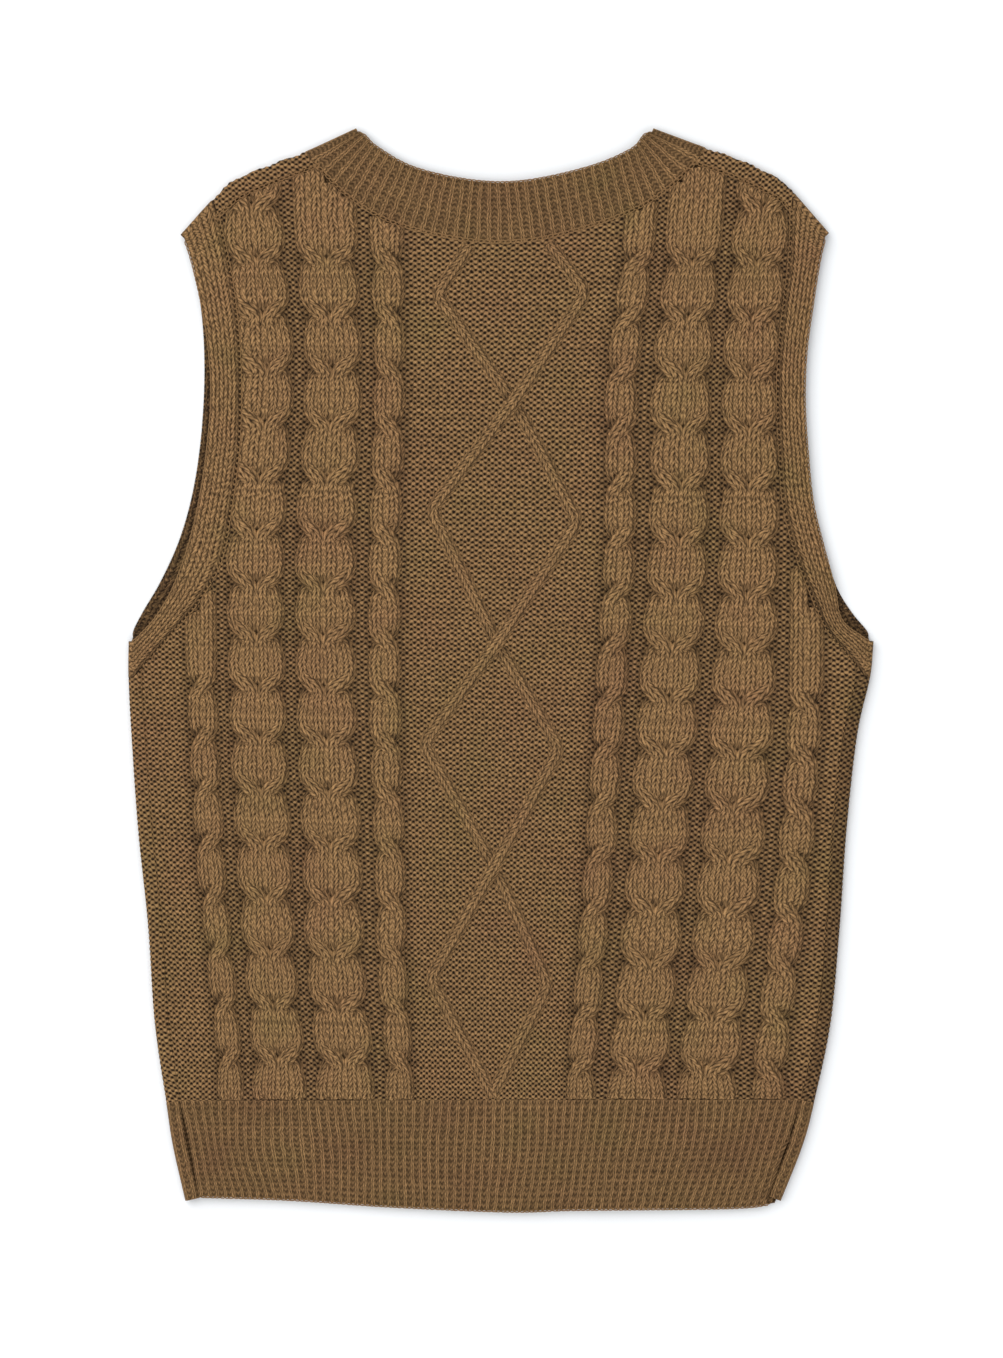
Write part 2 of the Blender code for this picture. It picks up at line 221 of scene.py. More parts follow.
# edges of the back panel as functions: x of y at the sides, y of x at the top and the bottom
backLeft = np.vstack([leftSideSeam, leftArm[0][corner + 1 : -1 - corner]])
backRight = np.vstack([rightSideSeam, rightArm[0][corner + 1 : -1 - corner]])
backTop = np.vstack([leftShoulderSeam, neckSeam[neckCorner + 1 : -1 - neckCorner], rightShoulderSeam[::-1]])
backFoot = np.vstack([backLeft[0], backRight[0]])


def edgeX(line, y):
    order = np.argsort(line[:, 1])
    return np.interp(y, line[order, 1], line[order, 0])


def edgeY(line, x):
    order = np.argsort(line[:, 0])
    return np.interp(x, line[order, 0], line[order, 1])


# wales and rows of the knit
gauge = {
    "rows": (-20, 0, 20, 50, 80, 110, 130, 150),
    "wales": (-41.5, -33.5, -23.5, -15.5, 15.5, 23.5, 33.5, 41.5),  # middle of each cable
    "middles": (  # x of each cable's middle at those rows
        (-184, -182, -182, -180.5, -179.2, -174.6, -168.6, -162.4),
        (-152, -146.6, -140.6, -146.7, -145.8, -142.3, -138.6, -133.8),
        (-107, -104.5, -101.2, -106.2, -106, -102.4, -101, -93.8),
        (-70, -68.6, -67.2, -69.2, -69.3, -66.4, -64.4, -60),
        (88, 82.2, 72.6, 71.4, 65.4, 58.8, 52.8, 46.8),
        (118.5, 114.4, 110.4, 107, 100.6, 94.4, 89.4, 82.8),
        (161, 153.4, 148.8, 148.2, 143.8, 136.2, 130, 122),
        (190, 187, 184.5, 183.5, 182.6, 175.6, 168, 160.4),
    ),
    "levelRows": (-40, 0, 50, 100, 150, 170),
    "leftLevels": (370, 242.1, 77.7, -77.1, -237.9, -300),
    "rightLevels": (370, 240.9, 74.1, -84.3, -242.7, -304),
    "levelX": 102, "pitch": 4.3,
}
denseRows = smoothLine(np.column_stack([gauge["rows"], np.array(gauge["middles"]).T]))


def middleLines(row):
    return [np.interp(row, denseRows[:, 0], denseRows[:, i + 1]) for i in range(len(gauge["wales"]))]


def place(wale, row):
    # x, y of a stitch
    wale, row = np.broadcast_arrays(np.asarray(wale, float), np.asarray(row, float))
    lines, knots = middleLines(row), gauge["wales"]
    x = np.zeros(row.shape)
    for i in range(len(knots) - 1):
        t = (wale - knots[i]) / (knots[i + 1] - knots[i])
        here = (t >= 0 if i else t > -99) & (t < 1 if i < len(knots) - 2 else t < 99)
        x = np.where(here, lines[i] + t * (lines[i + 1] - lines[i]), x)
    share = (x + gauge["levelX"]) / (2 * gauge["levelX"])
    low = np.interp(row, gauge["levelRows"], gauge["leftLevels"])
    high = np.interp(row, gauge["levelRows"], gauge["rightLevels"])
    return x, low + share * (high - low)


def stitchAt(x, y):
    # wale and row of a place
    share = (x + gauge["levelX"]) / (2 * gauge["levelX"])
    rows = gauge["levelRows"]
    low = np.interp(-y, -np.array(gauge["leftLevels"]), rows)
    high = np.interp(-y, -np.array(gauge["rightLevels"]), rows)
    row = low + share * (high - low)
    lines, knots = middleLines(row), gauge["wales"]
    wale = np.zeros(row.shape)
    for i in range(len(knots) - 1):
        t = (x - lines[i]) / (lines[i + 1] - lines[i])
        here = (t >= 0 if i else t > -99) & (t < 1 if i < len(knots) - 2 else t < 99)
        wale = np.where(here, knots[i] + t * (knots[i + 1] - knots[i]), wale)
    return wale, row


# soft creases of the laid cloth: from x, y to x, y, half width, height
creases = (
    (-212, -10, -150, -90, 16, 0.7), (-205, -60, -188, -230, 9, -0.7), (196, -30, 150, -110, 15, 0.6),
    (190, 20, 205, -120, 8, -0.6), (-60, 240, -30, 120, 26, 0.5), (40, 60, 60, -60, 30, 0.5),
    (-40, -60, -20, -200, 28, -0.5), (120, -150, 100, -240, 20, 0.6), (-140, -160, -120, -245, 18, 0.5),
    (160, 230, 140, 120, 18, 0.5), (-185, 200, -178, 60, 7, 0.4), (188, 200, 184, 90, 7, 0.4),
    (-120, -275, -115, -325, 16, 0.6), (60, -270, 66, -325, 20, 0.5), (0, 262, 5, 292, 24, 0.4),
)


def drape(x, y):
    z = 0.35 * np.sin(x / 41 + 0.7) * np.sin(y / 57 + 1.1) + 0.2 * np.sin(x / 23 - y / 31)
    for x0, y0, x1, y1, width, height in creases:
        along = np.array([x1 - x0, y1 - y0], float)
        t = np.clip(((x - x0) * along[0] + (y - y0) * along[1]) / (along @ along), 0, 1)
        gap = np.hypot(x - x0 - t * along[0], y - y0 - t * along[1])
        z = z + height * np.exp(-((gap / width) ** 2)) * (0.6 + 0.4 * np.sin(np.pi * t))
    return z


def rims(x, y):
    # distance inside the side or armhole seams, the neck or shoulder seam, and the top of the hem
    side = np.minimum(x - edgeX(backLeft, y), edgeX(backRight, y) - x)
    return side, edgeY(backTop, x) - y, y - edgeY(backFoot, x)


def inside(x, y):
    return np.minimum.reduce(rims(x, y))


seams = {"side": 0.15, "armhole": 0.8, "top": 0.6, "hem": 0.1, "reach": 1.6}


def seamSink(x, y):
    side, top, foot = (np.exp(-((np.maximum(gap, 0) / seams["reach"]) ** 2)) for gap in rims(x, y))
    sideDepth = seams["side"] + (seams["armhole"] - seams["side"]) * smooth((y + 5) / 30)
    return np.maximum(np.maximum(side * sideDepth, top * seams["top"]), foot * seams["hem"])


# meshes
def gridMesh(name, grids, free=None):
    # grids of (points, knit uv); shared borders are merged. Cells with no free corner are left out
    points, uvs, faces, start = [], [], [], 0
    for rows, uv in grids:
        n, m = rows.shape[:2]
        index = start + np.arange(n * m).reshape(n, m)
        quads = np.stack([index[:-1, :-1], index[:-1, 1:], index[1:, 1:], index[1:, :-1]], axis=-1)
        points.append(rows.reshape(-1, 3))
        uvs.append(uv.reshape(-1, 2))
        faces.append(quads.reshape(-1, 4))
        start += n * m
    points, uvs, faces = np.vstack(points), np.vstack(uvs), np.vstack(faces)
    if free is not None:
        faces = faces[free[faces].any(axis=1)]
    a, b, c, d = (points[faces[:, i]] for i in range(4))
    faces = faces[np.linalg.norm(np.cross(c - a, d - b), axis=1) > 0.002]  # cells squeezed flat at an edge
    mesh = bpy.data.meshes.new(name)
    mesh.from_pydata((points * mm).tolist(), [], faces.tolist())
    layer = mesh.uv_layers.new(name="knit")
    layer.data.foreach_set("uv", uvs[faces.reshape(-1)].astype(np.float32).reshape(-1))
    return mesh


def intoScene(name, data):
    item = bpy.data.objects.new(name, data)
    bpy.context.scene.collection.objects.link(item)
    return item


def makePiece(name, mesh, material):
    mesh.materials.append(material)
    return intoScene(name, mesh)


def applyModifiers(piece):
    graph = bpy.context.evaluated_depsgraph_get()
    result = bpy.data.meshes.new_from_object(piece.evaluated_get(graph), depsgraph=graph)
    result.name = piece.name
    piece.modifiers.clear()
    old, piece.data = piece.data, result
    bpy.data.meshes.remove(old)


def tidyMesh(mesh, tube=False):
    bm = bmesh.new()
    bm.from_mesh(mesh)
    bmesh.ops.remove_doubles(bm, verts=bm.verts, dist=0.01 * mm)
    bmesh.ops.dissolve_degenerate(bm, edges=bm.edges, dist=0.005 * mm)
    loose = [vert for vert in bm.verts if not vert.link_faces]
    bmesh.ops.delete(bm, geom=loose, context="VERTS")
    if tube:
        bmesh.ops.recalc_face_normals(bm, faces=bm.faces)
        low = [face for face in bm.faces if face.calc_center_median().z < 2.5 * mm]
        if sum(face.normal.z * face.calc_area() for face in low) > 0:  # the side on the floor faces down
            bmesh.ops.reverse_faces(bm, faces=bm.faces)
    bm.to_mesh(mesh)
    bm.free()
    mesh.shade_smooth()


def shadeSoft(mesh):
    # smooth over the stitches, crisp at the cut of the wall
    mesh.shade_smooth()
    mesh.set_sharp_from_angle(angle=math.radians(65))


def faceOutward(mesh):
    # each closed shell of the mesh turned outward
    bm = bmesh.new()
    bm.from_mesh(mesh)
    bmesh.ops.recalc_face_normals(bm, faces=bm.faces)
    if bm.calc_volume(signed=True) < 0:
        bmesh.ops.reverse_faces(bm, faces=bm.faces)
    bm.to_mesh(mesh)
    bm.free()
    shadeSoft(mesh)


def thicken(piece):
    solid = piece.modifiers.new("wall", "SOLIDIFY")
    solid.thickness = cloth["wall"] * mm
    solid.offset = -1
    solid.use_even_offset = False
    applyModifiers(piece)
    for vert in piece.data.vertices:
        vert.co.z = max(vert.co.z, 0)  # a tight corner stays on the floor
    shadeSoft(piece.data)


def clothPiece(name, grids, material, tube=True):
    # a wall of cloth behind the outer faces
    mesh = gridMesh(name, grids)
    tidyMesh(mesh, tube)
    piece = makePiece(name, mesh, material)
    thicken(piece)
    return piece


def paired(first, second):
    return np.stack(np.broadcast_arrays(first, second), axis=-1)


def aroundRoll(steps, pitch):
    # stitches counted round a roll
    return np.linspace(0, np.pi * cloth["roll"], steps) / pitch


ribs = {"knitShare": 0.48, "groove": 0.75, "leg": 0.3, "hemCount": 70, "neckCount": 38, "vCount": 34,
        "armWales": 7, "start": 0.81, "hemRows": 19, "neckRows": 12, "hemPitch": 5.4, "neckPitch": 6.4,
        "armPitch": 3.2}
yarn = {
    # the colour for the holes is painted shade; open, full and contrast set how stitch height turns into it
    "light": (0.395, 0.224, 0.095), "paintedHoleShade": (0.009, 0.0045, 0.002), "red": (0.367, 0.19, 0.089),
    "olive": (0.338, 0.218, 0.081), "rough": 0.92, "sheen": 0.05, "sheenTint": (0.8, 0.55, 0.3),
    "specular": 0.12, "open": 0.12, "full": 1.12, "contrast": 1.5, "wander": 0.34, "wanderRow": 0.42,
    "ply": 0.7, "streak": 0.4, "patch": 0.16, "fuzz": 0.35,
}


class Wire:
    # a number running through a shader tree, so that its sums read as sums
    def __init__(self, tree, socket):
        self.tree, self.socket = tree, socket

    def calc(self, operation, *others, clamp=False):
        return reckon(self.tree, operation, self, *others, clamp=clamp)

    def __add__(self, other):
        return self.calc("ADD", other)

    def __sub__(self, other):
        return self.calc("SUBTRACT", other)

    def __rsub__(self, other):
        return reckon(self.tree, "SUBTRACT", other, self)

    def __mul__(self, other):
        return self.calc("MULTIPLY", other)

    def __truediv__(self, other):
        return self.calc("DIVIDE", other)

    def __pow__(self, other):
        return self.calc("POWER", other)


def reckon(tree, operation, *values, clamp=False):
    node = tree.nodes.new("ShaderNodeMath")
    node.operation = operation
    node.use_clamp = clamp
    for target, value in zip(node.inputs, values):
        feed(tree, value, target)
    return Wire(tree, node.outputs[0])


def feed(tree, value, target):
    if isinstance(value, Wire):
        value = value.socket
    if isinstance(value, bpy.types.NodeSocket):
        tree.links.new(value, target)
    else:
        target.default_value = (*value, 1) if isinstance(value, tuple) else value


def noise(tree, vector, scale, detail, rough, dimensions="3D"):
    node = tree.nodes.new("ShaderNodeTexNoise")
    node.noise_dimensions = dimensions
    for key, value in (("Scale", scale), ("Detail", detail), ("Roughness", rough), ("Vector", vector)):
        feed(tree, value, node.inputs[key])
    return Wire(tree, node.outputs["Fac"])


def scaled(tree, vector, size):
    node = tree.nodes.new("ShaderNodeMapping")
    node.inputs["Scale"].default_value = size
    tree.links.new(vector, node.inputs["Vector"])
    return node.outputs["Vector"]


def mixColour(tree, share, first, second, blend="MIX"):
    node = tree.nodes.new("ShaderNodeMix")
    node.data_type = "RGBA"
    node.blend_type = blend
    for key, value in ((0, share), (6, first), (7, second)):
        feed(tree, value, node.inputs[key])
    return node.outputs[2]


def purlHeight(wale, row):
    # staggered heads and sinkers with a hole between each four
    across = (wale * math.tau).calc("COSINE")
    weave = across * ((row + across * 0.07) * math.tau).calc("COSINE")
    hole = (weave * 0.6 + 0.42).calc("MAXIMUM", 0) ** 1.3
    return 1 - hole


def legHeight(wale, row):
    # two leaning legs to a wale, with a low dash where a loop comes out of the last one, which the material
    # paints as shade
    leg = (wale * 2).calc("FRACT")
    side = wale.calc("FRACT").calc("GREATER_THAN", 0.5) * 2 - 1
    lean = (leg - 0.5) * side * 1.5
    valley = 1 - (leg * math.pi).calc("SINE") ** 0.7
    slip = row + (wale * 2).calc("FLOOR") * 0.37
    dash = (slip * math.tau).calc("COSINE") * 0.38 + 0.6
    along = ((row + lean) * math.pi).calc("SINE").calc("ABSOLUTE") ** 0.6
    return (1 - valley * dash) * (along * 0.5 + 0.5)


def ribHeight(wale, row):
    # one knit wale and one purl wale to a period
    t, share, steep = wale.calc("FRACT"), ribs["knitShare"], 14
    groove = ((t - (share - 0.02)) * steep).calc("MINIMUM", (1.01 - t) * steep)
    groove = groove.calc("MAXIMUM", 0).calc("MINIMUM", 1)
    slant = row + (t - (1 + share) / 2).calc("ABSOLUTE") * 2.2
    ladder = (slant * math.tau).calc("SINE") * 0.15 + 0.55
    return legHeight(t / share, row) * (1 - groove) + groove * ladder


stitches = {"purl": purlHeight, "knit": legHeight, "rib": ribHeight}


def knitMaterial(name, stitch, shade, depth, uneven=1.1):
    material = bpy.data.materials.new(name)
    material.use_nodes = True
    tree = material.node_tree
    shader = tree.nodes["Principled BSDF"]
    uvNode = tree.nodes.new("ShaderNodeUVMap")
    uvNode.uv_map = "knit"
    uv = uvNode.outputs["UV"]
    spot = tree.nodes.new("ShaderNodeTexCoord").outputs["Object"]
    parts = tree.nodes.new("ShaderNodeSeparateXYZ")
    tree.links.new(uv, parts.inputs[0])
    # hand of the yarn: each stitch sits a little off its place
    wander = noise(tree, uv, 0.55, 2, 0.6, "2D")
    wanderAcross = noise(tree, scaled(tree, uv, (1.3, 1.7, 1)), 0.7, 2, 0.6, "2D")
    wale = Wire(tree, parts.outputs[0]) + (wander - 0.5) * yarn["wander"]
    row = Wire(tree, parts.outputs[1]) + (wanderAcross - 0.5) * yarn["wanderRow"]
    ply = noise(tree, scaled(tree, uv, (5, 1.6, 1)), 2.2, 3, 0.65, "2D")
    # one stitch leg lighter than the next
    grain = noise(tree, scaled(tree, uv, (2.3, 1.25, 1)), 1.0, 1, 0.5, "2D")
    fuzz = noise(tree, spot, 2600, 3, 0.7)
    plyHeight = ply * yarn["ply"] + (1 - yarn["ply"] / 2)
    height = stitches[stitch](wale, row) * plyHeight if stitch else plyHeight * 0.9  # plain yarn has no stitch
    height = height * (grain * uneven + (1 - uneven / 2))
    # colour: painted shade between the yarns, where the stitch height is low, tan on them, with slow changes of
    # hue
    # painted shade set on the mesh darkens the yarn further: beside the cables, in the seams, where strands dive
    # and inside the bands
    attribute = tree.nodes.new("ShaderNodeAttribute")
    attribute.attribute_name = "paintedShade"
    paintedShade = Wire(tree, attribute.outputs["Fac"])
    # share of yarn colour against the painted shade colour, from the stitch height and the painted shade on the
    # mesh
    paintedLitShare = height * (1 - paintedShade * 0.6) - yarn["open"]
    paintedLitShare = paintedLitShare.calc("DIVIDE", yarn["full"] - yarn["open"], clamp=True) ** yarn["contrast"]
    tint = noise(tree, spot, 22, 3, 0.55)
    patch = noise(tree, spot, 60, 2, 0.5)
    streak = noise(tree, scaled(tree, uv, (0.06, 1.1, 1)), 1.0, 2, 0.5, "2D")
    tone = (streak - 0.5) * yarn["streak"] + shade
    tone = tone + (patch - 0.5) * yarn["patch"] + (fuzz - 0.5) * yarn["fuzz"]
    redShare = (tint - 0.5).calc("MULTIPLY", 3.2, clamp=True)
    oliveShare = (0.46 - tint).calc("MULTIPLY", 3.2, clamp=True)
    base = mixColour(tree, redShare, yarn["light"], yarn["red"])
    base = mixColour(tree, oliveShare, base, yarn["olive"])
    toneColour = tree.nodes.new("ShaderNodeCombineColor")
    for socket in toneColour.inputs:
        feed(tree, tone, socket)
    colour = mixColour(tree, 1.0, mixColour(tree, paintedLitShare, yarn["paintedHoleShade"], base), toneColour.outputs[0], "MULTIPLY")
    bump = tree.nodes.new("ShaderNodeBump")
    feed(tree, height + fuzz * 0.25, bump.inputs["Height"])
    bump.inputs["Distance"].default_value = depth * mm
    for key, value in (("Base Color", colour), ("Roughness", fuzz * 0.12 + (yarn["rough"] - 0.06)),
                       ("Sheen Weight", yarn["sheen"]), ("Sheen Roughness", 0.5),
                       ("Sheen Tint", yarn["sheenTint"]), ("Specular IOR Level", yarn["specular"]),
                       ("Normal", bump.outputs["Normal"])):
        feed(tree, value, shader.inputs[key])
    return material


purlKnit = knitMaterial("purl ground", "purl", 1.0, 0.55, 0.9)
cableKnit = knitMaterial("cable strands", "knit", 1.0, 0.4, 1.1)
ribKnit = knitMaterial("ribbed band", "rib", 1.0, 0.4, 0.6)
lineKnit = knitMaterial("armband wales", "knit", 1.0, 0.45, 1.2)
print("yarn materials made")


def setPaintedShade(mesh, values):
    # painted shade for the yarn colour: 0 open to the light, 1 deep between raised parts
    layer = mesh.attributes.new("paintedShade", "FLOAT", "POINT")
    layer.data.foreach_set("value", np.asarray(values, np.float32))


def meshPoints(mesh):
    points = np.empty(len(mesh.vertices) * 3, np.float32)
    mesh.vertices.foreach_get("co", points)
    return points.reshape(-1, 3).astype(float) / mm


# back panel: purl ground
ground = {"perWale": 4, "perRow": 2, "relief": 0.6, "level": 6.3, "underCable": 1.3, "firstRow": -22,
          "lastRow": 160, "edgeWale": 54, "floor": 3.4}
cables = {  # middle wale, kind, whether the front strand goes down to the right, number of the first crossing
    "outerLeftRope": (-41.5, "rope", False, 8), "outerLeftHorseshoe": (-33.5, "horseshoe", None, -1),
    "innerLeftHorseshoe": (-23.5, "horseshoe", None, 0), "innerLeftRope": (-15.5, "rope", True, 0),
    "innerRightRope": (15.5, "rope", False, 0), "innerRightHorseshoe": (23.5, "horseshoe", None, 0),
    "outerRightHorseshoe": (33.5, "horseshoe", None, -1), "outerRightRope": (41.5, "rope", True, 8),
}

halfWales = {"rope": 2, "horseshoe": 4}


def purlRelief(wale, row):
    across = np.cos(math.tau * wale)
    weave = across * np.cos(math.tau * (row + 0.07 * across))
    return 1 - np.maximum(0.62 * weave + 0.38, 0) ** 1.6


def cableSpan(wale):
    # 1 under a cable, 0 in the purl columns
    under = np.zeros(np.shape(wale))
    for middle, kind, _, _ in cables.values():
        under = np.maximum(under, smooth((halfWales[kind] + 0.1 - np.abs(wale - middle)) / 0.6))
    return under


def groundLevel(x, y):
    return ground["level"] + drape(x, y) - seamSink(x, y)


def waleLines():
    # full density in the purl columns, only every second wale under the cables
    step = 1 / ground["perWale"]
    lines = np.arange(-ground["edgeWale"], ground["edgeWale"] + step / 2, step)
    kept = [wale for wale in lines if cableSpan(wale) < 0.99 or abs(wale / 2 - round(wale / 2) - 0.25) < 0.01]
    return np.array(kept)


def makeGround():
    wales = waleLines()
    rows = np.arange(ground["firstRow"], ground["lastRow"] + 0.01, 1 / ground["perRow"])
    wale, row = np.meshgrid(wales, rows[::-1])
    x, y = place(wale, row)
    free = (inside(x, y) > 0.02).reshape(-1)
    x = np.clip(x, edgeX(backLeft, y), edgeX(backRight, y))
    y = np.clip(y, edgeY(backFoot, x), edgeY(backTop, x))
    x = np.clip(x, edgeX(backLeft, y), edgeX(backRight, y))
    side, _, foot = rims(x, y)
    under = cableSpan(wale) * smooth(np.minimum(side / 10, foot / 6))
    stitched = (purlRelief(wale, row) - 0.6) * ground["relief"] * (1 - under)
    z = groundLevel(x, y) + stitched - ground["underCable"] * under
    mesh = gridMesh("backPanel", [(np.stack([x, y, z], axis=-1), np.stack([wale, row], axis=-1))], free)
    tidyMesh(mesh)
    return mesh


def closeBelow(mesh, floor):
    # skirt down from the open edge, and one flat face under it
    bm = bmesh.new()
    bm.from_mesh(mesh)
    edges = [edge for edge in bm.edges if edge.is_boundary]
    made = bmesh.ops.extrude_edge_only(bm, edges=edges)["geom"]
    for vert in (item for item in made if isinstance(item, bmesh.types.BMVert)):
        vert.co.z = floor * mm
    rim = [item for item in made if isinstance(item, bmesh.types.BMEdge) and item.is_boundary]
    bmesh.ops.triangle_fill(bm, edges=rim, use_beauty=False, normal=(0, 0, -1))
    slivers = [face for face in bm.faces if any(edge.is_boundary for edge in face.edges)]
    bmesh.ops.delete(bm, geom=slivers, context="FACES")
    bmesh.ops.holes_fill(bm, edges=[edge for edge in bm.edges if edge.is_boundary], sides=0)
    bm.to_mesh(mesh)
    bm.free()
    faceOutward(mesh)


groundMesh = makeGround()
closeBelow(groundMesh, ground["floor"])
spots = meshPoints(groundMesh)
groundWale = stitchAt(spots[:, 0], spots[:, 1])[0]
# painted shade on the ground beside the cables and in the seam dips
cableShadeMask = np.zeros(len(spots))
for middle, kind, _, _ in cables.values():
    gap = np.maximum(np.abs(groundWale - middle) - halfWales[kind], 0)
    cableShadeMask = np.maximum(cableShadeMask, np.exp(-((gap / 0.9) ** 2)))
setPaintedShade(groundMesh, np.clip(0.4 * cableShadeMask + 0.45 * seamSink(spots[:, 0], spots[:, 1]), 0, 1))
backPanel = makePiece("backPanel", groundMesh, purlKnit)
print("back ground", len(groundMesh.polygons))

# back panel: cable strands
strand = {"repeat": 10, "perRow": 3, "across": 8, "crown": 1.9, "frontLift": 0.6, "backDrop": 1.9, "last": 159,
          "halfWidth": 1.12, "root": 1.4, "legRelief": 0.16, "shade": 0.55, "inset": 0.5, "rise": 6,
          "sideEase": 2.8, "topEase": 2.2, "footEase": 9.0}

# rows after the last crossing at which a strand rises or sinks: start, full, hold, end
crossings = {"horseshoe": {"over": (6.0, 8.4, 9.6, 12.6), "under": (6.6, 8.0, 9.0, 10.9), "narrow": 0.085},
             "rope": {"over": (5.6, 8.2, 10.0, 12.8), "under": (6.6, 8.0, 9.4, 11.2), "narrow": 0.11}}


def ribbon(x, y, crownZ, half, leftDrop, rightDrop, along, power=3.0):
    # one strand: closed strip with a rounded top, its flat bottom hidden in the ground
    points = np.stack([x, y], axis=-1)
    tangent = np.gradient(points, axis=0)
    tangent /= np.maximum(np.linalg.norm(tangent, axis=1), 1e-9)[:, None]
    normal = np.column_stack([-tangent[:, 1], tangent[:, 0]])  # to the right on the way down
    u = np.linspace(-1, 1, strand["across"] + 1)
    px = x[:, None] + normal[:, :1] * u * half[:, None]
    py = y[:, None] + normal[:, 1:] * u * half[:, None]
    inset = strand["inset"]
    px = np.clip(px, edgeX(backLeft, py) + inset, edgeX(backRight, py) - inset)
    py = np.clip(py, edgeY(backFoot, px) + 0.05, edgeY(backTop, px) - inset)
    drop = np.where(u < 0, leftDrop[:, None], rightDrop[:, None])
    base = groundLevel(px, py)
    side, above, foot = rims(px, py)
    taper = smooth(np.minimum(side / strand["sideEase"], above / strand["topEase"]))
    if side[0].min() < above[0].min():  # a strand that starts beside the armhole comes up slowly
        taper = taper * smooth(np.arange(len(x)) / strand["rise"])[:, None]
    # painted shade where the strand sinks behind another, and more on its sloping edges
    paintedShade = (1 - crownZ / strand["crown"])[:, None] * strand["shade"]
    crownZ = crownZ * (0.2 + 0.8 * smooth(foot.mean(axis=1) / strand["footEase"]))
    dome = 1 - drop * np.abs(u) ** power
    ridge = -strand["legRelief"] * (1 - np.abs(np.sin(math.tau * (u + 1))))
    raised = crownZ[:, None] * dome + ridge - (1 - dome) * strand["root"]
    z = base - strand["root"] * (1 - taper) + raised * taper
    top = np.stack([px, py, z], axis=-1)
    paintedShade = np.clip(paintedShade + 0.5 * (1 - dome), 0, 1)
    return top, paired((u + 1)[None], along[:, None]), paintedShade


def ribbonMesh(name, ribbons):
    points, uvs, faces, shades, start = [], [], [], [], 0
    for top, uv, paintedShade in ribbons:
        n, m = top.shape[:2]
        # the two points hidden under each row get full painted shade
        shades.append(np.concatenate([paintedShade, np.ones((n, 2))], axis=1).reshape(-1))
        low = top[:, [0, -1]].copy()
        low[..., 2] = np.minimum(low[..., 2], top[..., 2].min(axis=1)[:, None]) - 0.6
        ring = np.concatenate([top, low[:, ::-1]], axis=1)
        ringUv = np.concatenate([uv, uv[:, [-1, 0]]], axis=1)
        k = m + 2
        index = start + np.arange(n * k).reshape(n, k)
        after = np.roll(index, -1, axis=1)
        quads = np.stack([index[:-1], after[:-1], after[1:], index[1:]], axis=-1).reshape(-1, 4)
        faces += quads[:, ::-1].tolist()
        faces += [index[0].tolist(), index[-1][::-1].tolist()]
        points.append(ring.reshape(-1, 3))
        uvs.append(ringUv.reshape(-1, 2))
        start += n * k
    points, uvs = np.vstack(points), np.vstack(uvs)
    mesh = bpy.data.meshes.new(name)
    mesh.from_pydata((points * mm).tolist(), [], faces)
    layer = mesh.uv_layers.new(name="knit")
    order = np.array([i for face in faces for i in face])
    layer.data.foreach_set("uv", uvs[order].astype(np.float32).reshape(-1))
    setPaintedShade(mesh, np.concatenate(shades))
    faceOutward(mesh)
    return mesh


def pulse(p, start, full, hold, end):
    return smooth((p - start) / (full - start)) * (1 - smooth((p - hold) / (end - hold)))


def crossing(p, later, inFront, kind):
    # how far a strand stands up where it passes in front, and sinks where it passes behind
    over, under, before = crossings[kind]["over"], crossings[kind]["under"], p + strand["repeat"]
    lift = pulse(p, *over) * inFront + pulse(before, *over) * (1 - inFront) * later
    dive = pulse(p, *under) * (1 - inFront) + pulse(before, *under) * inFront * later
    return lift, dive


